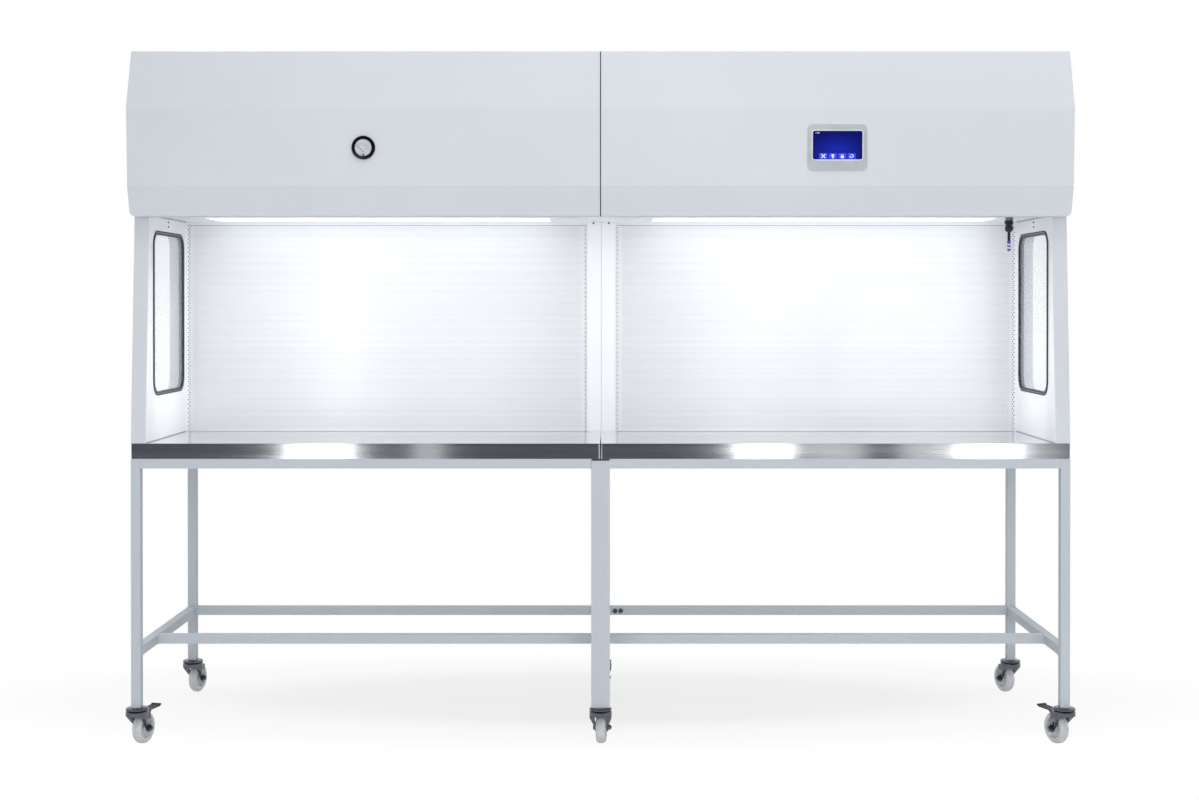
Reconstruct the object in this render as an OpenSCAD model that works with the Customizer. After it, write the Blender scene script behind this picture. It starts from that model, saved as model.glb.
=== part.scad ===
// A double laminar flow hood on a wheeled steel stand.
// Millimetres. Origin at the bottom centre, +X right, +Y to the back, +Z up.
// Inside the modules y is counted from the stand's front face, see in_stand().

/* [Overall] */
// Width of one cabinet, two stand side by side
cabinet_width = 1500; // [1200:10:1800]
// Depth of the stand and the worktops
depth = 750; // [700:10:850]
// Height of the worktops' upper face
worktop_z = 970; // [850:10:1050]
// Clear height from the worktop to the ceiling
opening_h = 732; // [650:1:850]
// Height of the housing above the ceiling
plenum_h = 521; // [500:1:600]

/* [Stand] */
// Outer size of the square tube
tube = 30; // [28:1:40]
// Wall of the square tube
tube_wall = 2; // [1.5:0.5:3]
// Width of the centre legs
centre_leg_w = 60; // [50:1:90]
// Height of the lower rails' underside
lower_rail_z = 288; // [200:1:400]
// Distance of the middle lower rail behind the front
mid_rail_y = 207; // [120:1:350]

/* [Casters] */
// Radius of the wheels
wheel_r = 50; // [45:0.5:60]
// Width of the tyres
wheel_w = 32; // [24:1:32]
// Distance of the axle behind the swivel axis
trail = 38; // [34:1:42]
// Swivel angle of the front left caster
turn_front_left = 16; // [-30:1:30]
// Swivel angle of the front centre caster
turn_front_centre = 4; // [-30:1:30]
// Swivel angle of the front right caster
turn_front_right = -23; // [-30:1:30]
// Swivel angle of the rear left caster
turn_rear_left = 12.5; // [-30:0.5:30]
// Swivel angle of the rear centre caster
turn_rear_centre = 0; // [-30:1:30]
// Swivel angle of the rear right caster
turn_rear_right = -20; // [-30:1:30]

/* [Cabinet] */
// Height of the worktop trays
worktop_h = 50; // [40:1:60]
// Thickness of the double-skinned side walls
wall_t = 48; // [40:1:60]
// Thickness of the sheet metal
sheet = 2; // [1.5:0.5:3]
// Distance of the diffusers behind the front
diffuser_y = 507; // [490:1:530]
// Corner radius of the windows
window_r = 50; // [30:1:80]
// Visible width of the window seals
seal_w = 12; // [10:1:20]
// How far the fascias lead the stand's front
canopy_lead = 46; // [30:1:60]

/* [Filters and fans] */
// Pitch of the filter pleats
pleat_pitch = 23; // [20:1:60]
// Depth of the main filters
filter_depth = 90; // [70:1:110]
// Radius of the fan impellers
impeller_r = 177.5; // [150:0.5:190]
// Number of blades on each impeller
blades = 8; // [6:1:11]

/* [Controls] */
// Outer radius of the gauge bezel
gauge_r = 37.5; // [34:0.5:45]
// Width of the touch panel
touch_w = 188; // [180:1:220]
// Height of the touch panel
touch_h = 144; // [140:1:170]

/* [Hidden] */
$fn = 40;

// Heights
stand_top = worktop_z - worktop_h;
ceiling_z = worktop_z + opening_h;
top_z = ceiling_z + plenum_h;
caster_h = 2 * wheel_r + 25;
crown_z = 2 * wheel_r + 6;

// Casters as [swivel axis x, swivel axis y, swivel angle, side of the nut]
leg_x = cabinet_width - tube / 2;
rear_y = depth - tube / 2;
front_left = [-leg_x, tube / 2, turn_front_left, 1];
front_centre = [0, tube / 2, turn_front_centre, 1];
front_right = [leg_x, tube / 2, turn_front_right, -1];
rear_left = [-leg_x, rear_y, turn_rear_left, 1];
rear_centre = [0, rear_y, turn_rear_centre, 1];
rear_right = [leg_x, rear_y, turn_rear_right, -1];
all_casters = [front_left, front_centre, front_right, rear_left, rear_centre, rear_right];

// Caster details
race_r = 36;
race_lip = 11;
stem_in_leg = 30;
kingpin_r = 8;
kingpin_head_r = 13;
axle_r = 5;
run_gap = 0.05;
fork_t = 3;
fork_gap = wheel_w / 2 + 2;
fork_low = fork_gap + fork_t;
fork_wide = 35;
fork_fold = 19;
fork_waist = 41;
boss_r = 14;
pedal_v = 44;
lug_u = fork_gap + 1;

// Fascia profile as [y, z]: top edge, upper fold, lower fold, bottom edge
fascia_back = 49;
fascia_top = [13, top_z];
fascia_fold_1 = [-canopy_lead, top_z - 187];
fascia_fold_2 = [-canopy_lead + 11, ceiling_z + 88];
fascia_drop = 8;
fascia_low = [-canopy_lead + 41, ceiling_z - fascia_drop];
facet_tilt = atan((fascia_fold_2[0] - fascia_fold_1[0]) / (fascia_fold_1[1] - fascia_fold_2[1]));
control_x = cabinet_width / 2;
gauge_z = ceiling_z + 208;
touch_z = ceiling_z + 209;
function facet_y(z) = fascia_fold_1[0] + (fascia_fold_1[1] - z) * tan(facet_tilt);

// The object's centre lies between the gauge's front and the rear wheels' back.
wheel_reach = trail + wheel_r - tube / 2;
gauge_lead = 10 * cos(facet_tilt) + (gauge_r - 8) * sin(facet_tilt) - facet_y(gauge_z);
front_y = -(depth + wheel_reach - gauge_lead) / 2;

// Cabinet
seam = 2;
wall_x = cabinet_width - wall_t;
casing_y = depth - sheet;
post_half = 50;
window_y = 92;
window_d = diffuser_y - 31 - window_y;
window_z = worktop_z + 148;
window_h = opening_h - 197;
aperture_w = cabinet_width - 350;
aperture_y = [255, 475];

// Windows. The seals' lips lie on the inner skins and the panes sit just behind them.
pane_t = 5;
seal_proud = 3;
seal_lip = 2.5;
seal_cover = 3.5;
seal_depth = 14;
seal_groove = 1;

// Flanges that hold the diffusers' edges at the walls and at the ceiling
corner_flange = 8;
ceiling_lip = 6;

// Fans
fan_y = 300;
deck_z = top_z - 205;
impeller_z = deck_z - 132;
impeller_h = 92;
eye_r = impeller_r * 0.63;
shaft_r = 8;
shaft_l = 56;
motor_r = 60;
motor_h = 45;
strap_w = 60;
strap_t = 5;
rod_r = 5;
rod_gap = 27.5;

// Gauge, in the frame of the fascia's middle facet
dial_r = 26.3;
pivot = [-4.5, -8.5];
pointer_angle = 44;

// Sensor
sensor = [cabinet_width - 169, 118];

// Places the work of a module, whose y starts at the stand's front face.
module in_stand() {
    translate([0, front_y, 0]) children();
}

// Mirrors the right half's shape to the left.
module to_left() {
    mirror([1, 0, 0]) children();
}

// Extrudes a [y, z] outline from x0 to x1.
module along_x(x0, x1) {
    translate([x0, 0, 0]) rotate([90, 0, 90]) linear_extrude(x1 - x0) children();
}

// Extrudes an [x, z] outline from y0 to y1.
module along_y(y0, y1) {
    translate([0, y1, 0]) rotate([90, 0, 0]) linear_extrude(y1 - y0) children();
}

// A box between two corners.
module block(low, high) {
    translate(low) cube(high - low);
}

// A flat rectangle with rounded corners, its lower left corner at the origin.
module rounded(w, h, r) {
    translate([r, 0]) square([w - 2 * r, h]);
    translate([0, r]) square([w, h - 2 * r]);
    for (x = [r, w - r], y = [r, h - r]) translate([x, y]) circle(r);
}

// The same rectangle about the origin.
module rounded_centred(w, h, r) {
    translate([-w / 2, -h / 2]) rounded(w, h, r);
}

function unit(v) = v / norm(v);
function left_of(v) = [-v[1], v[0]];

// The corner at b of the path a, b, c, moved d to the path's left.
function inset_corner(a, b, c, d) =
    let (n = left_of(unit(b - a)), m = left_of(unit(c - b)))
    b + d * (n + m) / (1 + n * m);

// The points of an arc of radius r in the corner at b.
function arc_corner(a, b, c, r, steps = 4) =
    let (
        u = unit(a - b),
        w = unit(c - b),
        half = acos(u * w) / 2,
        centre = b + unit(u + w) * r / sin(half),
        p = b + u * r / tan(half) - centre,
        q = b + w * r / tan(half) - centre,
        start = atan2(p[1], p[0]),
        turn = (atan2(q[1], q[0]) - start + 540) % 360 - 180
    )
    [for (i = [0:steps]) centre + r * [cos(start + turn * i / steps), sin(start + turn * i / steps)]];

// The point where a line from p touches a circle, on the side given by sign.
function touch_point(p, centre, r, sign) =
    let (
        d = norm(centre - p),
        a = atan2(centre[1] - p[1], centre[0] - p[0]) + sign * asin(r / d)
    )
    p + sqrt(d * d - r * r) * [cos(a), sin(a)];

function reversed(list) = [for (i = [len(list) - 1:-1:0]) list[i]];

// Casters. Locally u is across, v trails backwards and z is the height above the floor.

module at_caster(c) {
    in_stand() translate([c[0], c[1], 0]) rotate([0, 0, -c[2]]) children();
}

// The fixed part: race, kingpin with its head, and the plug inside the leg.
module caster_stem(c) {
    plug_w = (c[0] == 0 ? centre_leg_w : tube) - 2 * tube_wall - 0.6;
    plug_d = tube - 2 * tube_wall - 0.6;
    race = [
        [0, crown_z - 5], [kingpin_head_r, crown_z - 5], [kingpin_head_r, crown_z - 1],
        [kingpin_r, crown_z - 1], [kingpin_r, crown_z + 9], [race_r - 6, crown_z + 9],
        [race_r, crown_z + race_lip], [race_r, crown_z + race_lip + 3],
        [race_r - 3, crown_z + race_lip + 6], [race_r - 12, caster_h], [0, caster_h]
    ];
    in_stand() translate([c[0], c[1], 0]) {
        rotate_extrude() polygon(race);
        translate([-plug_w / 2, -plug_d / 2, caster_h - 1]) cube([plug_w, plug_d, stem_in_leg + 1]);
    }
}

module caster_stems() {
    color([0.62, 0.64, 0.66]) for (c = all_casters) caster_stem(c);
}

// The sheet of one fork leg seen from the front, wide at the crown and narrow at the axle.
module fork_sheet() {
    outer = [
        [fork_wide, crown_z], [fork_wide, crown_z - fork_fold], [fork_low, crown_z - fork_waist],
        [fork_low, 30]
    ];
    inner = [for (p = outer) p - [fork_t, 0]];
    outer_path = concat([outer[0]], arc_corner(outer[0], outer[1], outer[2], 12),
        arc_corner(outer[1], outer[2], outer[3], 15), [outer[3]]);
    inner_path = concat([inner[0]], arc_corner(inner[0], inner[1], inner[2], 15),
        arc_corner(inner[1], inner[2], inner[3], 12), [inner[3]]);
    polygon(concat(outer_path, reversed(inner_path)));
}

// The outline of the fork legs seen from the side, with the round end about the axle.
module fork_outline() {
    axle = [trail, wheel_r];
    front = [-8, crown_z - 10];
    back = [trail - 14, crown_z - 14];
    polygon([
        [-8, crown_z], front, touch_point(front, axle, boss_r, -1), axle,
        touch_point(back, axle, boss_r, 1), back, [trail - 14, crown_z]
    ]);
    translate(axle) circle(boss_r);
}

// The two lugs that carry the trunnion of a brake pedal.
module pedal_lugs() {
    for (u = [-lug_u - fork_t, lug_u]) {
        along_x(u, u + fork_t) {
            translate([14, crown_z - 6]) square([pedal_v - 14, 12]);
            translate([pedal_v, crown_z]) circle(6);
        }
    }
}

module fork(c, lugs = false) {
    crown = [
        [kingpin_r + run_gap, crown_z], [race_r - 4, crown_z], [race_r - 3, crown_z - 8],
        [race_r, crown_z - 8], [race_r, crown_z + 5], [race_r - 3, crown_z + 8],
        [kingpin_r + run_gap, crown_z + 8]
    ];
    color([0.64, 0.66, 0.68]) at_caster(c) difference() {
        union() {
            rotate_extrude() polygon(crown);
            intersection() {
                union() {
                    along_y(-20, trail + 30) fork_sheet();
                    mirror([1, 0, 0]) along_y(-20, trail + 30) fork_sheet();
                }
                along_x(-50, 50) fork_outline();
            }
            if (lugs) pedal_lugs();
        }
        block([-fork_gap, 0, crown_z - 10], [fork_gap, 60, crown_z]);
        translate([-50, trail, wheel_r]) rotate([0, 90, 0]) cylinder(r = axle_r + 0.1, h = 100);
        if (lugs) {
            translate([-50, pedal_v, crown_z]) rotate([0, 90, 0]) cylinder(r = 3 + run_gap, h = 100);
        }
    }
}

// The axle bolt with its head on one side, washer and nut on the other.
module axle(c) {
    side = c[3];
    color([0.66, 0.67, 0.68]) at_caster(c) translate([0, trail, wheel_r]) rotate([0, 90 * side, 0]) {
        translate([0, 0, -fork_low - 1]) cylinder(r = axle_r, h = 2 * fork_low + 13);
        translate([0, 0, -fork_low - 6]) cylinder(r = 9.2, h = 6, $fn = 6);
        translate([0, 0, fork_low]) cylinder(r = 10, h = 1.5);
        translate([0, 0, fork_low + 1.5]) cylinder(r = 9.2, h = 7, $fn = 6);
    }
}

// The wheel: hub, web, rim and a tyre with a round shoulder.
module wheel(c) {
    w = wheel_w / 2;
    shoulder = 12;
    half = concat(
        [[axle_r + run_gap, w + 1.5], [12, w + 1.5], [13.5, 5], [wheel_r - 19, 5], [wheel_r - 17, w - 2]],
        [for (a = [90:-18:0]) [wheel_r - shoulder + shoulder * cos(a), w - shoulder + shoulder * sin(a)]]
    );
    other = reversed([for (p = half) [p[0], -p[1]]]);
    color([0.8, 0.8, 0.81]) at_caster(c) translate([0, trail, wheel_r]) rotate([0, 90, 0])
        rotate_extrude() polygon(concat(half, other));
}

// The brake pedal: a plate with an upturned end on a trunnion.
module pedal(c) {
    z = crown_z;
    half_w = fork_gap - 0.5;
    color([0.22, 0.23, 0.25]) at_caster(c) {
        along_x(-half_w, half_w) {
            polygon([
                [37, z - 3], [pedal_v + 64, z - 3], [pedal_v + 74, z + 2], [pedal_v + 73, z + 5],
                [pedal_v + 63, z + 0.5], [37, z + 0.5]
            ]);
            translate([pedal_v, z]) circle(5);
        }
        translate([-lug_u - 3.3, pedal_v, z]) rotate([0, 90, 0]) cylinder(r = 3, h = 2 * lug_u + 6.6);
    }
}

module fork_front_left() { fork(front_left, true); }
module fork_front_centre() { fork(front_centre); }
module fork_front_right() { fork(front_right, true); }
module fork_rear_left() { fork(rear_left); }
module fork_rear_centre() { fork(rear_centre); }
module fork_rear_right() { fork(rear_right); }
module axle_front_left() { axle(front_left); }
module axle_front_centre() { axle(front_centre); }
module axle_front_right() { axle(front_right); }
module axle_rear_left() { axle(rear_left); }
module axle_rear_centre() { axle(rear_centre); }
module axle_rear_right() { axle(rear_right); }
module wheel_front_left() { wheel(front_left); }
module wheel_front_centre() { wheel(front_centre); }
module wheel_front_right() { wheel(front_right); }
module wheel_rear_left() { wheel(rear_left); }
module wheel_rear_centre() { wheel(rear_centre); }
module wheel_rear_right() { wheel(rear_right); }
module pedal_front_left() { pedal(front_left); }
module pedal_front_right() { pedal(front_right); }

// Stand. A member is [low corner, high corner, axis it runs along].

top_rail_z = stand_top - tube;
centre_x = centre_leg_w / 2;
end_x = cabinet_width - tube;
back_y = depth - tube;
half_members = [
    [[end_x, 0, caster_h], [cabinet_width, tube, stand_top], 2],
    [[end_x, back_y, caster_h], [cabinet_width, depth, stand_top], 2],
    [[centre_x, 0, top_rail_z], [end_x, tube, stand_top], 0],
    [[centre_x, back_y, top_rail_z], [end_x, depth, stand_top], 0],
    [[end_x, tube, top_rail_z], [cabinet_width, back_y, stand_top], 1],
    [[centre_x, back_y, lower_rail_z], [end_x, depth, lower_rail_z + tube], 0],
    [[tube / 2, mid_rail_y, lower_rail_z], [end_x, mid_rail_y + tube, lower_rail_z + tube], 0],
    [[end_x, tube, lower_rail_z], [cabinet_width, back_y, lower_rail_z + tube], 1]
];
centre_members = [
    [[-centre_x, 0, caster_h], [centre_x, tube, stand_top], 2],
    [[-centre_x, back_y, caster_h], [centre_x, depth, stand_top], 2],
    [[-centre_x, tube, top_rail_z], [centre_x, back_y, stand_top], 1],
    [[-tube / 2, tube, lower_rail_z], [tube / 2, back_y, lower_rail_z + tube], 1]
];

// Places where the right frame's rails slide over the left frame's spigots, as
// [x of the rail's end, y of the rail, z of the rail, face with the screws]
frame_joints = [
    [centre_x, 0, top_rail_z, 1],
    [centre_x, back_y, top_rail_z, 1],
    [centre_x, back_y, lower_rail_z, -1],
    [tube / 2, mid_rail_y, lower_rail_z, 1]
];
spigot_l = 60;
screw_steps = [18.5, 39];
screw_r = 4;
screw_head_r = 6.5;
screw_head_h = 6;
screw_flange_r = 8.5;
screw_l = 22;

module outer_tubes(members) {
    for (m = members) block(m[0], m[1]);
}

// The tubes' hollows run into each other and end at the legs' open feet.
module tube_hollows(members) {
    for (m = members) {
        w = tube_wall;
        side = [for (i = [0:2]) m[2] == i ? -w - 1 : w];
        foot = m[2] == 2 ? [0, 0, 2 * w + 1] : [0, 0, 0];
        block(m[0] + side, m[1] - side - foot);
    }
}

module at_screws() {
    for (j = frame_joints, step = screw_steps) {
        y = j[3] < 0 ? j[1] : j[1] + tube;
        translate([j[0] + step, y, j[2] + tube / 2]) rotate([-90 * j[3], 0, 0]) children();
    }
}

module right_frame_tubes() {
    difference() {
        outer_tubes(half_members);
        tube_hollows(half_members);
    }
}

module spigots() {
    slack = tube_wall + 0.2;
    for (j = frame_joints) {
        block([j[0] - 1, j[1] + slack, j[2] + slack],
            [j[0] + spigot_l, j[1] + tube - slack, j[2] + tube - slack]);
    }
}

module left_stand_frame() {
    color([0.72, 0.74, 0.78]) in_stand() difference() {
        union() {
            difference() {
                union() {
                    to_left() outer_tubes(half_members);
                    outer_tubes(centre_members);
                }
                to_left() tube_hollows(half_members);
                tube_hollows(centre_members);
            }
            spigots();
        }
        at_screws() translate([0, 0, -tube + 1]) cylinder(r = screw_r, h = tube);
    }
}

module right_stand_frame() {
    color([0.72, 0.74, 0.78]) in_stand() difference() {
        right_frame_tubes();
        at_screws() translate([0, 0, -tube_wall - 1]) cylinder(r = screw_r + 0.3, h = 10);
    }
}

// Socket screws: round flange, head with a hexagon socket, shank in the spigot.
module frame_bolts() {
    color([0.3, 0.31, 0.33]) in_stand() at_screws() difference() {
        union() {
            cylinder(r = screw_flange_r, h = 2);
            cylinder(r = screw_head_r, h = screw_head_h);
            translate([0, 0, -screw_l]) cylinder(r = screw_r - 0.1, h = screw_l + 1);
        }
        translate([0, 0, screw_head_h - 3.5]) cylinder(r = screw_head_r - 3, h = 5, $fn = 6);
    }
}

// Worktops

// A folded stainless tray with its face up and return flanges below.
module worktop() {
    x0 = 1.5;
    x1 = cabinet_width;
    lip = 20;
    difference() {
        intersection() {
            translate([x0, 0, stand_top]) linear_extrude(worktop_h) rounded(x1 - x0, depth, 4);
            along_y(-1, depth + 1) translate([x0, stand_top]) difference() {
                square([x1 - x0, worktop_h]);
                translate([x1 - x0 - 6, 0]) difference() {
                    square(6);
                    translate([0, 6]) circle(6);
                }
            }
        }
        block([x0 + sheet, sheet, stand_top + sheet], [x1 - sheet, depth - sheet, worktop_z - sheet]);
        block([x0 + lip, lip, stand_top - 1], [x1 - lip, depth - lip, stand_top + sheet + 1]);
    }
}

module left_worktop() {
    color([0.62, 0.64, 0.66]) in_stand() to_left() worktop();
}

module right_worktop() {
    color([0.62, 0.64, 0.66]) in_stand() worktop();
}

module worktop_joint_strip() {
    color([0.06, 0.06, 0.07]) in_stand() block([-29, -1.5, stand_top - 4.5], [29, 0, stand_top]);
}

// Side walls and windows

module window_shape(grow) {
    translate([window_y - grow, window_z - grow])
        rounded(window_d + 2 * grow, window_h + 2 * grow, window_r + grow);
}

// A hollow wall with a leaning front edge, a sleeved window opening and a flange at the back.
module side_wall() {
    s = sheet;
    lean = s / cos(atan(fascia_back / opening_h));
    difference() {
        along_x(wall_x, cabinet_width) difference() {
            polygon([
                [0, worktop_z], [casing_y, worktop_z], [casing_y, top_z - s],
                [fascia_back, top_z - s], [fascia_back, ceiling_z]
            ]);
            window_shape(0);
        }
        along_x(wall_x + s, cabinet_width - s) difference() {
            polygon([
                [lean, worktop_z - 0.01], [casing_y - s, worktop_z - 0.01], [casing_y - s, top_z - 2 * s],
                [fascia_back + s, top_z - 2 * s], [fascia_back + s, ceiling_z]
            ]);
            window_shape(s);
        }
    }
    block([wall_x - corner_flange, diffuser_y - s, worktop_z], [wall_x + s, diffuser_y, ceiling_z]);
}

module left_side_wall() {
    color([0.86, 0.87, 0.89]) in_stand() to_left() side_wall();
}

module right_side_wall() {
    color([0.86, 0.87, 0.89]) in_stand() side_wall();
}

module pane() {
    x = wall_x - seal_proud + seal_cover;
    along_x(x, x + pane_t) window_shape(-seal_w / 2);
}

// A rubber ring that grips the pane, with a lip on the inner skin and a groove round its face.
module seal() {
    face_x = wall_x - seal_proud;
    inner = seal_lip - seal_w;
    difference() {
        union() {
            along_x(face_x, wall_x) window_shape(seal_lip);
            along_x(wall_x, wall_x + seal_depth) window_shape(0);
        }
        along_x(face_x - 1, wall_x + seal_depth + 1) window_shape(inner);
        along_x(face_x - 1, face_x + seal_groove) difference() {
            window_shape(seal_lip - seal_w / 3);
            window_shape(inner + seal_w / 3);
        }
        pane();
    }
}

module window_seals() {
    color([0.2, 0.21, 0.22]) in_stand() {
        seal();
        to_left() seal();
    }
}

module window_panes() {
    color([0.75, 0.85, 0.88, 0.4]) in_stand() {
        pane();
        to_left() pane();
    }
}

// Fascias

// The side profile moved inwards by d, with rounded folds; the hollow runs out at the back.
// The bottom edge hangs below the ceiling and turns up to it just in front of the walls.
function fascia_profile(d) =
    let (
        back = fascia_back + (d > 0 ? 60 : 0),
        hem = fascia_back - sheet - d,
        a = [back, top_z],
        f = [hem, fascia_low[1]],
        p = inset_corner(a, fascia_top, fascia_fold_1, d),
        q = inset_corner(fascia_top, fascia_fold_1, fascia_fold_2, d),
        r = inset_corner(fascia_fold_1, fascia_fold_2, fascia_low, d),
        s = inset_corner(fascia_fold_2, fascia_low, f, d)
    )
    concat(
        [[back, top_z - d]],
        arc_corner(a, p, q, 4 - d),
        arc_corner(p, q, r, 7 - d),
        arc_corner(q, r, s, 7 - d),
        arc_corner(r, s, f + [0, d], 5 - d),
        [[hem, fascia_low[1] + d], [hem, ceiling_z + d], [back, ceiling_z + d]]
    );

// The front outline with a large lower and a small upper outer corner.
module fascia_front(d) {
    x0 = seam / 2 + d;
    x1 = cabinet_width - d;
    low = 18 - d;
    high = 5 - d;
    z0 = fascia_low[1] + d;
    difference() {
        translate([x0, z0]) square([x1 - x0, top_z - d - z0]);
        translate([x1 - low, z0]) difference() {
            square(low + 1);
            translate([0, low]) circle(low);
            translate([-1, low]) square(low + 3);
        }
        translate([x1 - high, top_z - d - high]) difference() {
            square(high + 1);
            circle(high);
        }
    }
}

module fascia_solid(d) {
    intersection() {
        along_x(0, cabinet_width) polygon(fascia_profile(d));
        along_y(-100, fascia_back + 60) fascia_front(d);
    }
}

module fascia() {
    difference() {
        fascia_solid(0);
        fascia_solid(sheet);
    }
}

// Work on the middle facet: x along it, y up it, z out of it.
module on_facet(x, z) {
    translate([x, facet_y(z), z]) rotate([90 + facet_tilt, 0, 0]) children();
}

module left_fascia() {
    color([0.84, 0.86, 0.88]) in_stand() difference() {
        to_left() fascia();
        on_facet(-control_x, gauge_z) translate([0, 0, -10]) cylinder(r = gauge_r - 5, h = 20);
    }
}

module right_fascia() {
    color([0.84, 0.86, 0.88]) in_stand() difference() {
        fascia();
        on_facet(control_x, touch_z) translate([0, 0, -10]) linear_extrude(20)
            rounded_centred(touch_w - 16, touch_h - 16, 6);
    }
}

// Ceiling

// A tray with upturned edges, an aperture for the light and a lip along the diffuser.
module ceiling() {
    x0 = seam / 2;
    half_a = aperture_w / 2;
    difference() {
        block([x0, fascia_back, ceiling_z], [wall_x, diffuser_y, ceiling_z + 25]);
        block([x0 + 2 * sheet, fascia_back + sheet, ceiling_z + sheet],
            [wall_x - sheet, diffuser_y - sheet, ceiling_z + 26]);
        block([x0 - 1, fascia_back - 1, ceiling_z + sheet],
            [x0 + sheet, diffuser_y + 1, ceiling_z + 26]);
        block([control_x - half_a, aperture_y[0], ceiling_z - 1],
            [control_x + half_a, aperture_y[1], ceiling_z + sheet + 1]);
    }
    block([post_half + 0.3, diffuser_y - sheet, ceiling_z - ceiling_lip],
        [wall_x - corner_flange - 0.3, diffuser_y, ceiling_z + sheet]);
}

module left_ceiling() {
    color([0.88, 0.89, 0.9]) in_stand() to_left() ceiling();
}

module right_ceiling() {
    color([0.88, 0.89, 0.9]) in_stand() difference() {
        ceiling();
        translate([sensor[0], sensor[1], ceiling_z - 1]) cylinder(r = 10.3, h = sheet + 2);
    }
}

module light_panels() {
    rest = 5;
    half_p = aperture_w / 2 + rest;
    color([0.95, 0.95, 0.92]) in_stand() for (x = [-control_x, control_x]) {
        block([x - half_p, aperture_y[0] - rest, ceiling_z + sheet],
            [x + half_p, aperture_y[1] + rest, ceiling_z + sheet + 10]);
    }
}

// Diffusers, centre post and filters

plate_t = 1.5;
plate_edge = 12;

module diffuser() {
    t = plate_t;
    difference() {
        block([post_half, diffuser_y, worktop_z], [wall_x, diffuser_y + plate_edge, ceiling_z - 2]);
        block([post_half + t, diffuser_y + t, worktop_z + t],
            [wall_x - t, diffuser_y + plate_edge + 1, ceiling_z - 2 - t]);
    }
}

module left_diffuser() {
    color([0.8, 0.82, 0.84]) in_stand() to_left() diffuser();
}

module right_diffuser() {
    color([0.8, 0.82, 0.84]) in_stand() diffuser();
}

// A channel with its web to the front and a shallow groove at the middle.
module centre_post() {
    y0 = diffuser_y - plate_edge;
    color([0.84, 0.86, 0.88]) in_stand() difference() {
        block([-post_half, y0, worktop_z], [post_half, y0 + 35, ceiling_z]);
        block([-post_half + sheet, y0 + sheet, worktop_z - 1], [post_half - sheet, y0 + 36, ceiling_z + 1]);
        block([-0.4, y0 - 1, worktop_z - 1], [0.4, y0 + 1, ceiling_z + 1]);
    }
}

// A pleated sheet seen end on: w wide and d deep, centred on the origin.
function pleats(w, d) =
    let (
        n = 2 * round(w / pleat_pitch),
        t = 5,
        path = [for (i = [0:n]) [-w / 2 + i * w / n, (i % 2 == 0 ? -1 : 1) * (d - t) / 2]]
    )
    concat([for (p = path) p - [0, t / 2]], reversed([for (p = path) p + [0, t / 2]]));

// An aluminium frame with the pleated pack between its walls, the folds lying level.
module main_filter() {
    x0 = post_half + 10;
    x1 = wall_x - 10;
    z0 = worktop_z + plate_t;
    z1 = ceiling_z - 2 - plate_t;
    y0 = diffuser_y + 4;
    wall = 12;
    difference() {
        block([x0, y0, z0], [x1, y0 + filter_depth, z1]);
        block([x0 + wall, y0 - 1, z0 + wall], [x1 - wall, y0 + filter_depth + 1, z1 - wall]);
    }
    along_x(x0 + wall, x1 - wall) translate([y0 + filter_depth / 2, (z0 + z1) / 2])
        polygon([for (p = pleats(z1 - z0 - 2 * wall, filter_depth - 16)) [p[1], p[0]]]);
}

module left_filter() {
    color([0.9, 0.9, 0.88]) in_stand() to_left() main_filter();
}

module right_filter() {
    color([0.9, 0.9, 0.88]) in_stand() main_filter();
}

// Housing

// The back sheet with the inner end plate around the chamber's back and top.
module rear_casing() {
    z1 = top_z - sheet;
    y0 = diffuser_y - plate_edge + 35;
    block([seam / 2, casing_y, worktop_z], [cabinet_width, depth, z1]);
    along_x(seam / 2, seam / 2 + sheet) polygon([
        [y0, worktop_z], [casing_y, worktop_z], [casing_y, z1], [fascia_back, z1],
        [fascia_back, ceiling_z + sheet], [y0, ceiling_z + sheet]
    ]);
}

inlet = [cabinet_width - 150, deck_z + 100];
inlet_plate = [40, 60];
inlet_body = [27, 47];

module left_rear_casing() {
    color([0.84, 0.86, 0.88]) in_stand() to_left() rear_casing();
}

module right_rear_casing() {
    color([0.84, 0.86, 0.88]) in_stand() difference() {
        rear_casing();
        along_y(casing_y - 1, depth + 1) translate(inlet) square(inlet_body + [1, 1], center = true);
    }
}

prefilter_size = [640, 440];
prefilter_y = 400;
prefilter_h = 45;
prefilter_wall = 15;

module roof_panel() {
    w = prefilter_size[0] / 2 - 20;
    d = prefilter_size[1] / 2 - 20;
    difference() {
        block([seam / 2, fascia_back, top_z - sheet], [cabinet_width, depth, top_z]);
        block([control_x - w, prefilter_y - d, top_z - 2 * sheet], [control_x + w, prefilter_y + d, top_z + 1]);
    }
}

module roof_panels() {
    color([0.84, 0.86, 0.88]) in_stand() {
        roof_panel();
        to_left() roof_panel();
    }
}

// A shallow frame under the roof's aperture with a pleated mat in it.
module prefilter() {
    w = prefilter_size[0] / 2;
    d = prefilter_size[1] / 2;
    z1 = top_z - sheet;
    z0 = z1 - prefilter_h;
    wall = prefilter_wall;
    translate([control_x, prefilter_y, 0]) {
        difference() {
            block([-w, -d, z0], [w, d, z1]);
            block([-w + wall, -d + wall, z0 - 1], [w - wall, d - wall, z1 + 1]);
        }
        translate([0, d - wall, (z0 + z1) / 2]) rotate([90, 0, 0]) linear_extrude(2 * (d - wall))
            polygon(pleats(2 * (w - wall), prefilter_h - 9));
    }
}

module prefilters() {
    color([0.9, 0.91, 0.9]) in_stand() {
        prefilter();
        to_left() prefilter();
    }
}

// Fans

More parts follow.
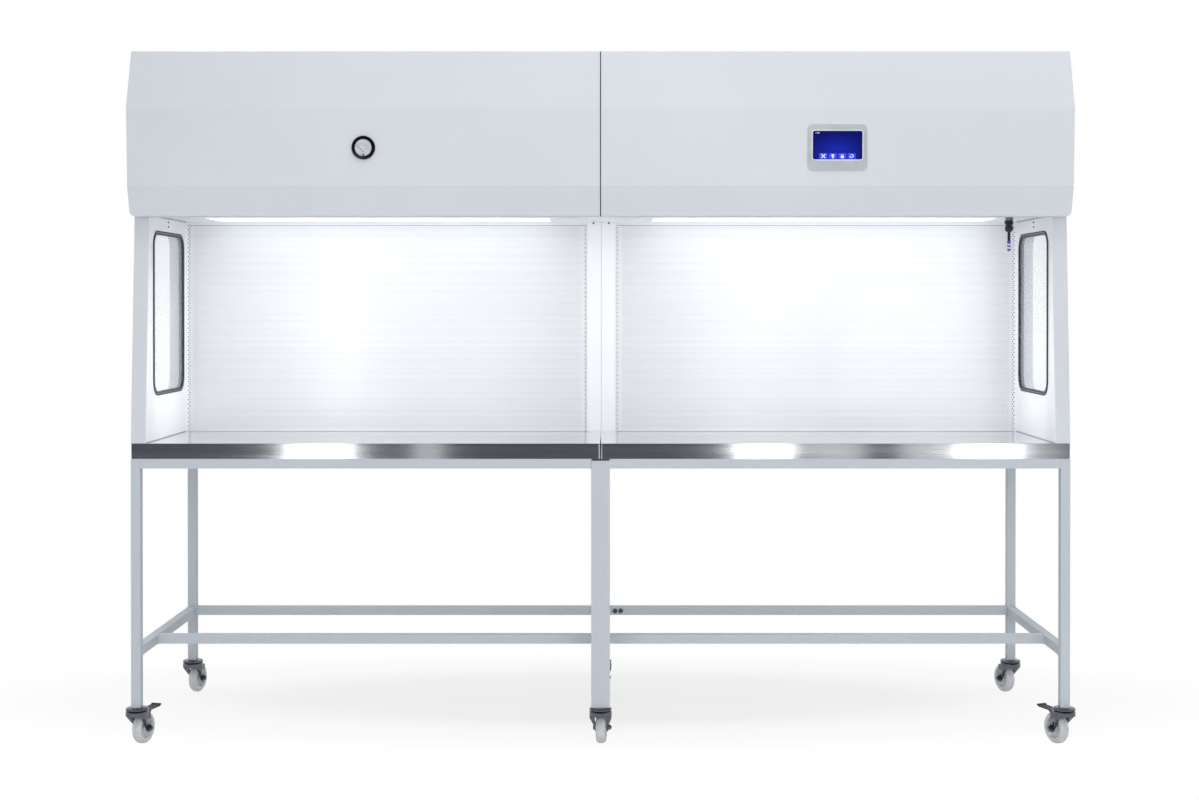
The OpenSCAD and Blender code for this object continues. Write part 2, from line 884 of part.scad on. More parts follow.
// A deck across the housing with a rounded inlet ring, and the bulkhead in front.
module fan_deck() {
    x0 = seam / 2 + sheet;
    y0 = fascia_back + sheet;
    r = eye_r - 3;
    flare = 20;
    difference() {
        union() {
            block([x0, y0, deck_z - sheet], [wall_x, casing_y, deck_z]);
            block([x0 + sheet, y0, ceiling_z + sheet], [wall_x - sheet, y0 + sheet, top_z - sheet]);
        }
        translate([control_x, fan_y, deck_z - 10]) cylinder(r = r + flare - 4, h = 20);
    }
    translate([control_x, fan_y, deck_z]) rotate_extrude() difference() {
        translate([r, -flare - 20]) square([flare, flare + 20]);
        translate([r + flare, -flare - 21]) circle(flare - sheet + 0.01);
        translate([r + sheet, -flare - 21]) square([flare, 21]);
        translate([r + flare, -flare]) circle(flare - sheet);
    }
}

module fan_decks() {
    color([0.72, 0.74, 0.76]) in_stand() {
        fan_deck();
        to_left() fan_deck();
    }
}

// A motor on two crossed straps that hang from the deck on four rods.
module fan_motor() {
    strap_z = impeller_z - shaft_l;
    reach = impeller_r + rod_gap;
    end = reach + 3 * rod_r;
    half_w = strap_w / 2;
    translate([control_x, fan_y, 0]) {
        difference() {
            union() {
                translate([0, 0, strap_z + strap_t]) cylinder(r = motor_r, h = motor_h);
                block([-end, -half_w, strap_z], [end, half_w, strap_z + strap_t]);
                block([-half_w, -end, strap_z], [half_w, end, strap_z + strap_t]);
            }
            translate([0, 0, strap_z - 1]) cylinder(r = shaft_r + run_gap, h = strap_t + motor_h + 10);
        }
        for (a = [0:90:270]) {
            rotate([0, 0, a]) translate([reach, 0, strap_z + strap_t - 1])
                cylinder(r = rod_r, h = deck_z - sheet - strap_z - strap_t + 1);
        }
    }
}

module fan_motors() {
    color([0.3, 0.32, 0.35]) in_stand() {
        fan_motor();
        to_left() fan_motor();
    }
}

// One blade, an arc from the hub side out to the rim.
module blade() {
    bend = impeller_r * 0.62;
    inner = impeller_r * 0.5;
    difference() {
        intersection() {
            translate([impeller_r * 0.42, -impeller_r * 0.62]) difference() {
                circle(bend + 1);
                circle(bend - 1);
            }
            translate([0, -impeller_r * 0.4]) square([impeller_r * 1.1, impeller_r]);
            circle(impeller_r - 1);
        }
        circle(inner);
    }
}

// A radial impeller: back plate, hub with its shaft, curved blades and a front ring.
module impeller() {
    translate([control_x, fan_y, impeller_z]) {
        cylinder(r = impeller_r, h = 3);
        translate([0, 0, 2]) cylinder(r = 24, h = 30);
        translate([0, 0, -shaft_l]) cylinder(r = shaft_r, h = shaft_l + 4);
        translate([0, 0, impeller_h - 3]) difference() {
            cylinder(r = impeller_r, h = 3);
            translate([0, 0, -1]) cylinder(r = eye_r + 4, h = 5);
        }
        translate([0, 0, 2]) linear_extrude(impeller_h - 4)
            for (i = [0:blades - 1]) rotate(i * 360 / blades) blade();
    }
}

module left_impeller() {
    color([0.78, 0.8, 0.82]) in_stand() to_left() impeller();
}

module right_impeller() {
    color([0.78, 0.8, 0.82]) in_stand() impeller();
}

// Gauge

module at_gauge() {
    in_stand() on_facet(-control_x, gauge_z) children();
}

module gauge_body() {
    r = gauge_r;
    profile = [
        [0, -34], [r - 7, -34], [r - 5.5, -32], [r - 5.5, 0], [r, 0], [r, 6], [r - 3, 9.5], [r - 8, 10],
        [dial_r + 1.2, 10], [dial_r + 1.2, 8.5], [dial_r, 8.5], [dial_r, 5], [0, 5]
    ];
    color([0.08, 0.08, 0.09]) at_gauge() rotate_extrude() polygon(profile);
}

module gauge_dial() {
    color([0.85, 0.86, 0.86]) at_gauge() {
        translate([0, 0, 5]) cylinder(r = dial_r, h = 0.6);
        translate([pivot[0], pivot[1], 5]) cylinder(r = 1, h = 3);
    }
}

module gauge_pointer() {
    color([0.75, 0.1, 0.1]) at_gauge() translate([pivot[0], pivot[1], 6.2]) rotate([0, 0, pointer_angle])
        linear_extrude(0.8) difference() {
            union() {
                circle(2.6);
                polygon([[-1.1, -7], [1.1, -7], [0.5, 25.5], [-0.5, 25.5]]);
            }
            circle(1 + run_gap);
        }
}

module gauge_lens() {
    color([0.8, 0.85, 0.88, 0.3]) at_gauge() translate([0, 0, 8.5]) cylinder(r = dial_r + 1.2, h = 1.2);
}

// Touch panel

screen_w = touch_w - 31;
screen_h = touch_h - 54;
screen_up = 7;

module at_touch() {
    in_stand() on_facet(control_x, touch_z) children();
}

module touch_bezel() {
    color([0.73, 0.75, 0.76]) at_touch() difference() {
        union() {
            linear_extrude(4) rounded_centred(touch_w, touch_h, 16);
            translate([0, 0, -30]) linear_extrude(31) rounded_centred(touch_w - 18, touch_h - 18, 5);
        }
        translate([0, screen_up, 2]) linear_extrude(3) rounded_centred(screen_w, screen_h, 6);
        translate([0, 0, -31]) linear_extrude(30) rounded_centred(touch_w - 24, touch_h - 24, 3);
    }
}

module touch_screen() {
    color([0.02, 0.08, 0.5]) at_touch() translate([0, screen_up, 2]) linear_extrude(1.5)
        rounded_centred(screen_w, screen_h, 6);
}

// Sensor

module at_sensor() {
    in_stand() translate([sensor[0], sensor[1], ceiling_z]) children();
}

// The gland through the ceiling with its lock nut above and a domed nut below.
module sensor_gland() {
    body = [[6.3, -22], [9, -22], [12, -18], [13, -13], [13, -6], [14, -6], [14, 0], [10, 0], [10, 10], [6.3, 10]];
    color([0.8, 0.81, 0.82]) at_sensor() {
        rotate_extrude() polygon(body);
        translate([0, 0, sheet]) difference() {
            cylinder(r = 15, h = 6, $fn = 6);
            translate([0, 0, -1]) cylinder(r = 9.8, h = 8);
        }
    }
}

// The probe: a straight stem, two beads and a rounded tip.
module sensor_probe() {
    body = [
        [0, -115], [3, -114.5], [5, -112], [5.6, -108], [5.6, -101], [7, -100], [7, -95], [5.6, -94],
        [5.6, -88], [7, -87], [7, -82], [6.3, -81], [6.3, 24], [0, 24]
    ];
    color([0.2, 0.4, 0.75]) at_sensor() rotate_extrude() polygon(body);
}

// Electrical parts

module control_box() {
    w = touch_w / 2 - 4;
    h = touch_h / 2 - 7;
    color([0.6, 0.62, 0.64]) in_stand() translate([control_x, 0, touch_z]) {
        block([-w, 1, -h], [w, fascia_back + sheet, h]);
        for (x = [-w + 20, w - 20]) {
            translate([x, 12, -h - 12]) cylinder(r = 6, h = 13);
        }
    }
}

// An appliance inlet in the right rear casing.
module power_inlet() {
    x = inlet[0];
    z = inlet[1];
    color([0.1, 0.1, 0.11]) in_stand() {
        difference() {
            union() {
                along_y(depth, depth + 3) translate(inlet)
                    rounded_centred(inlet_plate[0], inlet_plate[1], 5);
                along_y(depth - 30, depth + 1) translate(inlet) square(inlet_body, center = true);
            }
            block([x - 11, depth - 20, z - 14], [x + 11, depth + 4, z + 14]);
        }
        for (p = [[-7, -2], [7, -2], [0, 5]]) {
            block([x + p[0] - 1, depth - 21, z + p[1] - 2], [x + p[0] + 1, depth - 4, z + p[1] + 2]);
        }
    }
}

caster_stems();
fork_front_left();
fork_front_centre();
fork_front_right();
fork_rear_left();
fork_rear_centre();
fork_rear_right();
axle_front_left();
axle_front_centre();
axle_front_right();
axle_rear_left();
axle_rear_centre();
axle_rear_right();
wheel_front_left();
wheel_front_centre();
wheel_front_right();
wheel_rear_left();
wheel_rear_centre();
wheel_rear_right();
pedal_front_left();
pedal_front_right();
left_stand_frame();
right_stand_frame();
frame_bolts();
left_worktop();
right_worktop();
worktop_joint_strip();
left_side_wall();
right_side_wall();
window_seals();
window_panes();
left_fascia();
right_fascia();
left_ceiling();
right_ceiling();
light_panels();
left_diffuser();
right_diffuser();
centre_post();
left_filter();
right_filter();
left_rear_casing();
right_rear_casing();
roof_panels();
prefilters();
fan_decks();
fan_motors();
left_impeller();
right_impeller();
gauge_body();
gauge_dial();
gauge_pointer();
gauge_lens();
touch_bezel();
touch_screen();
sensor_gland();
sensor_probe();
control_box();
power_inlet();
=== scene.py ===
import math

import bmesh
import bpy
from mathutils import Matrix, Vector


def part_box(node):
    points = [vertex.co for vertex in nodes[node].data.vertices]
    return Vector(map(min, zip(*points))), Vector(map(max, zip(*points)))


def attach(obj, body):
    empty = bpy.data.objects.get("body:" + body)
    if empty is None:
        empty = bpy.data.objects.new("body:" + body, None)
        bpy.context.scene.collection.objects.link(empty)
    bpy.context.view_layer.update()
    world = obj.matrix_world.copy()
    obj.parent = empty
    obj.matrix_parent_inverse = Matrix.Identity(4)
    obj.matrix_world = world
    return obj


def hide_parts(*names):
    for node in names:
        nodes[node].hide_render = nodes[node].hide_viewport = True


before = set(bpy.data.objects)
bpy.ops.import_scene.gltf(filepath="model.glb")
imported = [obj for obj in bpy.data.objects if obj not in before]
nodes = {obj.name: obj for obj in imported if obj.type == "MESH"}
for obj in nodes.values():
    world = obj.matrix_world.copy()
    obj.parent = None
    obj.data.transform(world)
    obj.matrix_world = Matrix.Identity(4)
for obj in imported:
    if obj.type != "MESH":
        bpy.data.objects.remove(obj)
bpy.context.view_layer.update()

MM = 0.001

# Sizes of the hood, in millimetres
SHEET = 2
WALL_T = 48
CONTROL_X = 750      # gauge and touch panel, from the middle
GAUGE_UP = 208       # above the ceiling
PANEL_UP = 209
CANOPY_LEAD = 46     # the fascias' upper fold, ahead of the stand
FOLD_DROP = 187      # the upper fold, under the roof
FOLD_RISE = 88       # the lower fold, above the ceiling
FOLD_BACK = 11       # the lower fold, behind the upper one
FACET_H = 246        # from one fold to the other
TUBE = 30            # the stand's square tube
LEG_X = 1485         # the outer legs' middle
FRONT_Y = 15         # the front legs' middle, from the front
REAR_Y = 735         # the rear legs' middle
LOW_RAIL_Z = 288     # underside of the low rails
TOP_RAIL_Z = 890     # underside of the top rails
MID_RAIL_Y = 222     # middle of the rail that runs under the chamber

# Places that the pieces share, in metres
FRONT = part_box("left_worktop")[0].y
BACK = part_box("left_worktop")[1].y
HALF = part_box("right_worktop")[1].x
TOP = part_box("right_worktop")[1].z
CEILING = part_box("light_panels")[0].z - SHEET * MM
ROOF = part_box("roof_panels")[1].z
WALL = HALF - WALL_T * MM
TILT = math.atan(FOLD_BACK / FACET_H)
QUARTER = math.pi / 2
SIDES = ("left", "right")


def front(x, y, z):
    """A place in metres from millimetres, with y counted from the stand's front."""
    return Vector((x * MM, FRONT + y * MM, z * MM))


def facet(x, z):
    """The frame of the fascias' middle facet: x along it, y up it and z out of it."""
    fold = ROOF - FOLD_DROP * MM
    y = FRONT - CANOPY_LEAD * MM + (fold - z) * math.tan(TILT)
    return Matrix.Translation((x, y, z)) @ Matrix.Rotation(QUARTER + TILT, 4, "X")


def nudge(x, y, z):
    """A shift in millimetres."""
    return Matrix.Translation((x * MM, y * MM, z * MM))


GAUGE = facet(-CONTROL_X * MM, CEILING + GAUGE_UP * MM)
PANEL = facet(CONTROL_X * MM, CEILING + PANEL_UP * MM)
PIVOT = GAUGE @ nudge(-4.5, -8.5, 0)


def linear(red, green, blue):
    """A colour read off a picture, 0 to 255, as the linear colour that the nodes take."""
    def one(c):
        c /= 255
        return c / 12.92 if c <= 0.04045 else ((c + 0.055) / 1.055) ** 2.4
    return (one(red), one(green), one(blue), 1.0)


def tinted(colour, factor):
    """The colour made darker or lighter."""
    return tuple(min(1.0, c * factor) for c in colour[:3]) + (1.0,)


class Graph:
    """A node tree with one method that adds any node."""

    def __init__(self, tree):
        self.tree = tree
        tree.nodes.clear()

    def add(self, kind, wires=None, **settings):
        """Adds a node, sets it up, then feeds its sockets with values or links."""
        node = self.tree.nodes.new(kind)
        for name, value in settings.items():
            setattr(node, name, value)
        for name, value in (wires or {}).items():
            socket = node.inputs[name]
            if isinstance(value, Level):
                value = value.socket
            if isinstance(value, bpy.types.NodeSocket):
                self.tree.links.new(value, socket)
            else:
                socket.default_value = value
        return node

    def level(self, socket):
        """The socket as a number that takes Python's operators."""
        return Level(self, socket)

    def axes(self, vector):
        """The vector's parts along x, y and z."""
        node = self.add("ShaderNodeSeparateXYZ", {0: vector})
        return [self.level(s) for s in node.outputs]

    def between(self, level, low, high):
        """0 below low and 1 above high, with a smooth way between."""
        wires = {"Value": level, "From Min": low, "From Max": high}
        node = self.add("ShaderNodeMapRange", wires, interpolation_type="SMOOTHSTEP")
        return self.level(node.outputs[0])

    def mix(self, share, first, second):
        """Two colours by the share."""
        wires = {"Factor": share, 6: first, 7: second}
        return self.add("ShaderNodeMix", wires, data_type="RGBA").outputs[2]

    def blend(self, share, first, second):
        """Two shaders by the share."""
        wires = {0: share, 1: first.outputs[0], 2: second.outputs[0]}
        return self.add("ShaderNodeMixShader", wires)

    def rays(self):
        """Whether a ray comes from the camera, from gloss or through glass."""
        path = self.add("ShaderNodeLightPath")
        kinds = ("Is Camera Ray", "Is Glossy Ray", "Is Transmission Ray")
        return [self.level(path.outputs[kind]) for kind in kinds]


def math_node(operation, swapped=False):
    """A method that joins two numbers by a Math node."""
    def method(self, other):
        first, second = (other, self) if swapped else (self, other)
        node = self.graph.add("ShaderNodeMath", {0: first, 1: second}, operation=operation)
        return Level(self.graph, node.outputs[0])
    return method


class Level:
    """A number in a node tree. Python's operators add the Math nodes."""

    def __init__(self, graph, socket):
        self.graph = graph
        self.socket = socket

    def put(self, operation):
        """A Math node that takes this number alone."""
        node = self.graph.add("ShaderNodeMath", {0: self}, operation=operation)
        return Level(self.graph, node.outputs[0])

    __add__ = math_node("ADD")
    __radd__ = math_node("ADD", True)
    __sub__ = math_node("SUBTRACT")
    __rsub__ = math_node("SUBTRACT", True)
    __mul__ = math_node("MULTIPLY")
    __rmul__ = math_node("MULTIPLY", True)
    __truediv__ = math_node("DIVIDE")
    __mod__ = math_node("FLOORED_MODULO")
    __pow__ = math_node("POWER")
    lower = math_node("MINIMUM")
    higher = math_node("MAXIMUM")


class Finish(Graph):
    """A material with a Principled shader and the object's own coordinates."""

    def __init__(self, name, **constants):
        self.material = bpy.data.materials.new(name)
        self.material.use_nodes = True
        super().__init__(self.material.node_tree)
        self.shader = self.add("ShaderNodeBsdfPrincipled", constants)
        self.output = self.add("ShaderNodeOutputMaterial", {"Surface": self.shader.outputs[0]})
        self.place = self.add("ShaderNodeTexCoord").outputs["Object"]

    def stretched(self, x, y, z):
        """The place with each axis scaled, for grain that runs along one of them."""
        wires = {0: self.place, 1: (x, y, z)}
        return self.add("ShaderNodeVectorMath", wires, operation="MULTIPLY").outputs[0]

    def noise(self, scale, detail, place=None, rough=0.5):
        """Even noise, unless the place is stretched."""
        wires = {"Vector": place or self.place, "Scale": scale, "Detail": detail,
                 "Roughness": rough}
        return self.level(self.add("ShaderNodeTexNoise", wires).outputs[0])

    def toned(self, share, colour, low, high):
        """The colour between two of its tints."""
        return self.mix(share, tinted(colour, low), tinted(colour, high))

    def sprayed(self, colour):
        """A sprayed coat's colour, with a slow drift and fine specks."""
        share = self.between(self.noise(1.7, 3) * 0.8 + self.noise(900, 1) * 0.2, 0.3, 0.7)
        return self.toned(share, colour, 0.97, 1.015)

    def feed(self, name, value):
        """Links a value that varies over the surface to one of the shader's sockets."""
        if isinstance(value, Level):
            value = value.socket
        self.tree.links.new(value, self.shader.inputs[name])

    def wear(self, colour, rough, height=None, strength=0.2, depth=0.2):
        """Colour, roughness and relief over the surface, the relief's depth in millimetres."""
        self.feed("Base Color", colour)
        self.feed("Roughness", rough)
        if height is not None:
            wires = {"Strength": strength, "Distance": depth * MM, "Height": height}
            self.feed("Normal", self.add("ShaderNodeBump", wires).outputs[0])
        return self.material


# Finishes

def powder_coat(name, colour, rough=0.42, peel=0.1, **constants):
    """Paint baked on sheet metal: a fine orange peel, and a tone that drifts a little."""
    f = Finish(name, **constants)
    dull = (f.noise(35, 3) - 0.5) * rough * 0.25
    return f.wear(f.sprayed(colour), rough + dull, f.noise(420, 2), peel, 0.3)


def two_sided_coat(name, outer, inner):
    """The side walls' paint: glossy and white towards the chamber, the cabinet's grey outside."""
    f = Finish(name)
    x = f.axes(f.place)[0]
    inside = f.between((x * x) ** 0.5, WALL + 0.9 * MM, WALL + 0.3 * MM)
    colour = f.mix(inside, f.sprayed(outer), f.sprayed(inner))
    rough = 0.42 - inside * 0.26 + (f.noise(35, 3) - 0.5) * 0.06
    return f.wear(colour, rough, f.noise(420, 2), 0.05, 0.3)


def brushed_steel(name, colour, grain=(4, 420, 420), rough=0.27, depth=0.25):
    """Stainless sheet with its grain along the axis that has the small number."""
    f = Finish(name, Metallic=1.0)
    lines = f.noise(1.0, 4, f.stretched(*grain), 0.7)
    wide = f.noise(1.0, 2, f.stretched(*[g * 0.15 for g in grain]))
    tone = f.toned(f.between(lines * 0.75 + wide * 0.25, 0.35, 0.65), colour, 0.9, 1.06)
    dull = (lines - 0.5) * rough * 0.5 + (wide - 0.5) * rough * 0.3
    return f.wear(tone, rough + dull, lines, depth, 0.2)


def plated(name, colour, rough=0.24):
    """Bright zinc: cloudy, with small pits and handling marks."""
    f = Finish(name, Metallic=1.0)
    cloud = f.noise(38, 4)
    pits = f.noise(620, 2)
    tone = f.toned(f.between(cloud, 0.3, 0.7), colour, 0.82, 1.1)
    return f.wear(tone, rough + (cloud - 0.5) * 0.2 + (pits - 0.5) * 0.08, pits, 0.12, 0.2)


def moulded(name, colour, rough=0.45, grain=0.15, **constants):
    """Moulded plastic or rubber: a fine even grain and a faint cloudiness."""
    f = Finish(name, **constants)
    cloud = f.noise(24, 3)
    tone = f.toned(f.between(cloud, 0.3, 0.7), colour, 0.93, 1.05)
    return f.wear(tone, rough + (cloud - 0.5) * rough * 0.25, f.noise(700, 2), grain, 0.3)


def clear_sheet(name, colour, alpha, edge):
    """Glass: it shows what is behind it, mirrors at a low angle and has a little haze."""
    rough = 0.03
    f = Finish(name, Roughness=rough)
    haze = f.noise(4, 4, f.stretched(1, 1, 3))
    slant = f.level(f.add("ShaderNodeLayerWeight", {"Blend": 0.3}).outputs["Fresnel"])
    f.feed("Alpha", (slant * edge + alpha + (haze - 0.5) * 0.04).lower(1.0))
    return f.wear(f.mix(haze, tinted(colour, 0.97), colour), rough + haze * 0.03)


def lit_panel(name, colour, strength):
    """An opal light panel, a touch dimmer here and there."""
    f = Finish(name, Roughness=0.5)
    f.shader.inputs["Emission Strength"].default_value = strength
    cloud = f.noise(9, 2)
    glow = f.mix(f.between(cloud, 0.2, 0.8), tinted(colour, 0.96), colour)
    f.feed("Emission Color", glow)
    return f.wear(glow, 0.5 + (cloud - 0.5) * 0.1)


def filter_media(name, colour):
    """Filter paper, matte and fibrous."""
    f = Finish(name)
    fibre = f.noise(260, 4)
    tone = f.mix(fibre, tinted(colour, 0.9), colour)
    return f.wear(tone, 0.85 + (fibre - 0.5) * 0.1, fibre, 0.4, 0.6)


def screen_glow(name, deep, bright):
    """A lit screen, deep blue and a little brighter low at its middle."""
    f = Finish(name, Roughness=0.12, **dimmer(0.25))
    f.shader.inputs["Emission Strength"].default_value = 0.35
    x, z = f.axes(f.place)[::2]
    middle = PANEL @ Vector((0, -20 * MM, 0))
    far = (((x - middle.x) * 0.9) ** 2 + ((z - middle.z) * 1.2) ** 2) ** 0.5
    tone = f.mix(f.between(far, 0.01, 0.09), bright, deep)
    f.feed("Emission Color", tone)
    return f.wear(tone, 0.12 + f.noise(60, 2) * 0.05)


def pointer_paint(name, red, grey):
    """A pointer with a red tip and a grey root."""
    f = Finish(name)
    ends = {0: f.place, 1: PIVOT.translation}
    away = f.add("ShaderNodeVectorMath", ends, operation="DISTANCE")
    tip = f.between(f.level(away.outputs["Value"]), 9.5 * MM, 10.5 * MM)
    return f.wear(f.mix(tip, grey, red), 0.35 + f.noise(900, 2) * 0.1)


def dimmer(level):
    """A weaker gloss than the usual half."""
    return {"Specular IOR Level": level}


GREY, WHITE = linear(210, 215, 220), linear(244, 246, 249)
COAT = powder_coat("cabinet_coat", GREY)
INSIDE = powder_coat("chamber_coat", WHITE, 0.16, 0.03)
WALL_COAT = two_sided_coat("wall_coat", GREY, WHITE)
STAND_COAT = powder_coat("stand_coat", linear(194, 200, 207), 0.6, **dimmer(0.12))
STEEL = brushed_steel("worktop_steel", linear(228, 230, 232), rough=0.10, depth=0.03)
ZINC = plated("caster_zinc", linear(98, 101, 108), 0.17)
DARK_ZINC = plated("screw_zinc", linear(88, 90, 96), 0.34)
WHEEL = moulded("wheel_plastic", linear(206, 208, 211), 0.4)
PEDAL = moulded("pedal_coat", linear(24, 26, 30), 0.45, **dimmer(0.25))
SEAL = moulded("seal_rubber", linear(27, 29, 32), 0.5, 0.2)
# A paler grey for the cord in the window seals' groove: a painted highlight on the seal's face
SEAL_HIGHLIGHT_GREY = moulded("seal_filler", linear(104, 109, 114), 0.4, 0.1)
SEALANT = moulded("sealant_grey", linear(150, 154, 158), 0.5, 0.1)
STRIP = moulded("strip_rubber", linear(18, 19, 21), 0.6, 0.3)
PANE = clear_sheet("window_glass", linear(232, 237, 241), 0.12, 0.2)
LENS = clear_sheet("gauge_glass", linear(236, 240, 242), 0.06, 0.3)
LIGHT = lit_panel("light_panel", linear(250, 252, 255), 1.3)
MEDIA = filter_media("filter_media", linear(240, 241, 240))
GALVANISED = plated("fan_deck_zinc", linear(190, 194, 198), 0.4)
SCREW_ZINC = plated("bright_screw_zinc", linear(176, 178, 182))
CAST = moulded("motor_casing", linear(84, 88, 94), 0.45)
ALUMINIUM = plated("impeller_aluminium", linear(206, 209, 212), 0.36)
DIAL = moulded("dial_silver", linear(212, 217, 224), 0.3, 0.05)
DIAL_INK = moulded("dial_ink", linear(70, 74, 80), 0.5, 0.05)
BLACK = moulded("gauge_black", linear(2, 2, 3), 0.14, 0.03, **dimmer(0.35))
BEZEL = moulded("panel_plastic", linear(179, 185, 189), 0.42)
RIM = moulded("screen_rim_plastic", linear(214, 220, 216), 0.35, 0.05)
RECESS = moulded("panel_recess", linear(176, 181, 186), 0.45)
SCREEN = screen_glow("screen_blue", linear(0, 8, 92), linear(2, 26, 146))
KEY = moulded("key_blue", linear(46, 68, 236), 0.2, 0.02)
SYMBOL = moulded("symbol_white", linear(236, 240, 252), 0.3, 0.02)
GREY_BOX = moulded("box_plastic", linear(160, 164, 168), 0.5)
NUT = brushed_steel("nut_steel", linear(150, 154, 158), (60, 60, 700), 0.3)
FITTING = moulded("fitting_black", linear(20, 21, 24), 0.35, 0.1)
PROBE = moulded("probe_blue", linear(52, 74, 196), 0.35, 0.05)
BEAD = moulded("bead_cream", linear(228, 214, 196), 0.4, 0.05)
POINTER = pointer_paint("pointer_paint", linear(204, 34, 34), linear(66, 70, 76))
WIRE = plated("guard_zinc", linear(190, 193, 197), 0.3)


# Meshes

def paint(name, material):
    """Gives a CAD node its finish."""
    mesh = nodes[name].data
    mesh.materials.clear()
    mesh.materials.append(material)


def settle(mesh, sharp=30):
    """Smooth shading, but for the edges that are sharper than the angle."""
    mesh.shade_smooth()
    mesh.set_sharp_from_angle(angle=math.radians(sharp))


def placed(name, data):
    """A new object in the scene."""
    made = bpy.data.objects.new(name, data)
    bpy.context.scene.collection.objects.link(made)
    return made


def piece(name, mesh, material, body="hood"):
    """A finished piece at the origin that rides on its body."""
    mesh.materials.clear()
    mesh.materials.append(material)
    made = placed(name, mesh)
    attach(made, body)
    return made


def as_shape(mesh):
    """The mesh's faces as a free shape. The mesh is removed."""
    shape = bmesh.new()
    shape.from_mesh(mesh)
    bpy.data.meshes.remove(mesh)
    return shape


def as_mesh(shape, name):
    """The free shape as a mesh."""
    mesh = bpy.data.meshes.new(name)
    shape.to_mesh(mesh)
    shape.free()
    return mesh


def outward_mesh(shape, name):
    """The free shape as a mesh whose faces all point outwards."""
    bmesh.ops.recalc_face_normals(shape, faces=shape.faces)
    return as_mesh(shape, name)


def applied(obj):
    """The object's final mesh, its modifiers worked in, as a plain mesh."""
    bpy.context.view_layer.update()
    graph = bpy.context.evaluated_depsgraph_get()
    mesh = bpy.data.meshes.new_from_object(obj.evaluated_get(graph))
    bpy.data.objects.remove(obj)
    return mesh


def softened(node, width, material, body="hood", segments=2):
    """A copy of a CAD node, its edges rounded by a width in millimetres, which stands for it."""
    shape = bmesh.new()
    shape.from_mesh(nodes[node].data)
    bmesh.ops.remove_doubles(shape, verts=shape.verts, dist=0.002 * MM)
    flat = math.radians(0.6)
    bmesh.ops.dissolve_limit(shape, angle_limit=flat, verts=shape.verts, edges=shape.edges)
    mesh = as_mesh(shape, node + "_soft")
    rough = placed(node + "_rough", mesh)
    if width:
        mesh.shade_smooth()
        bevel = rough.modifiers.new("edges", "BEVEL")
        bevel.width = width * MM
        bevel.segments = segments
        bevel.limit_method = "ANGLE"
        bevel.angle_limit = math.radians(35)
        bevel.use_clamp_overlap = True
        rough.modifiers.new("flat_faces", "WEIGHTED_NORMAL")
    mesh = applied(rough)
    if not width:
        settle(mesh)
    made = piece(node + "_finished", mesh, material, body)
    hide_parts(node)


def lofted(loops, closed=False, capped=False):
    """A skin over loops of points; closed joins the last loop to the first."""
    shape = bmesh.new()
    rings = [[shape.verts.new(p) for p in loop] for loop in loops]
    pairs = list(zip(rings, rings[1:]))
    if closed:
        pairs.append((rings[-1], rings[0]))
    for low, high in pairs:
        for i in range(len(low)):
            j = (i + 1) % len(low)
            shape.faces.new([low[i], low[j], high[j], high[i]])
    if capped:
        shape.faces.new(rings[0])
        shape.faces.new(rings[-1])
    return shape


def revolved(profile, place, steps):
    """A solid of revolution. The profile's points are (radius, height); place is a matrix."""
    shape = bmesh.new()
    rings = []
    for radius, height in profile:
        if radius < 1e-7:
            rings.append([shape.verts.new(place @ Vector((0, 0, height)))])
            continue
        rings.append([])
        for i in range(steps):
            a = 2 * math.pi * i / steps
            spot = Vector((radius * math.cos(a), radius * math.sin(a), height))
            rings[-1].append(shape.verts.new(place @ spot))
    for low, high in zip(rings, rings[1:]):
        for i in range(steps):
            j = (i + 1) % steps
            corners = [low[i % len(low)], low[j % len(low)],
                       high[j % len(high)], high[i % len(high)]]
            unique = list(dict.fromkeys(corners))
            if len(unique) > 2:
                shape.faces.new(unique)
    return shape


def turned(profile, place, steps=32):
    """A solid of revolution from sizes in millimetres."""
    return revolved([(r * MM, z * MM) for r, z in profile], place, steps)


def plate(outline, thickness, place, ease=0.0):
    """A flat plate from height 0, its upper edge eased; place is a matrix."""
    middle = [sum(p[i] for p in outline) / len(outline) for i in (0, 1)]
    shrink = 1 - ease / max(math.dist(p, middle) for p in outline)
    top = [[m + (c - m) * shrink for c, m in zip(p, middle)] for p in outline]
    levels = [(outline, 0), (outline, thickness - ease), (top, thickness)]
    if not ease:
        levels.pop()
    loops = [[place @ Vector((x, y, z)) for x, y in points] for points, z in levels]
    return lofted(loops, capped=True)


def round_rectangle(width, height, radius, steps=6, middle=(0, 0)):
    """The corners' points of a rectangle with round corners."""
    points = []
    for turn, (sx, sy) in enumerate(((1, 1), (-1, 1), (-1, -1), (1, -1))):
        for i in range(steps + 1):
            a = math.radians(90 * turn + 90 * i / steps)
            points.append((middle[0] + sx * (width / 2 - radius) + radius * math.cos(a),
                           middle[1] + sy * (height / 2 - radius) + radius * math.sin(a)))
    return points


def circle(radius, steps=16, middle=(0, 0), start=0, sweep=360):
    """Points on an arc, its end left out where it closes."""
    count = steps if sweep == 360 else steps + 1
    turns = [math.radians(start + sweep * i / steps) for i in range(count)]
    return [(middle[0] + radius * math.cos(a), middle[1] + radius * math.sin(a)) for a in turns]


def merged(shapes):
    """One mesh of several bmesh shapes."""
    whole = bmesh.new()
    for shape in shapes:
        part = outward_mesh(shape, "part")
        whole.from_mesh(part)
        bpy.data.meshes.remove(part)
    return as_mesh(whole, "whole")


def assembled(name, shapes, material, body="hood"):
    """Shapes of one finish as one piece."""
    mesh = merged(shapes)
    settle(mesh)
    return piece(name, mesh, material, body)


def block(low, high, ease=0.3 * MM):
    """A small box with eased edges."""
    x, y, z = high - low
    outline = [(ease, 0), (x - ease, 0), (x, ease), (x, y - ease),
               (x - ease, y), (ease, y), (0, y - ease), (0, ease)]
    return plate(outline, z, Matrix.Translation(low), ease)


# Geometry Nodes

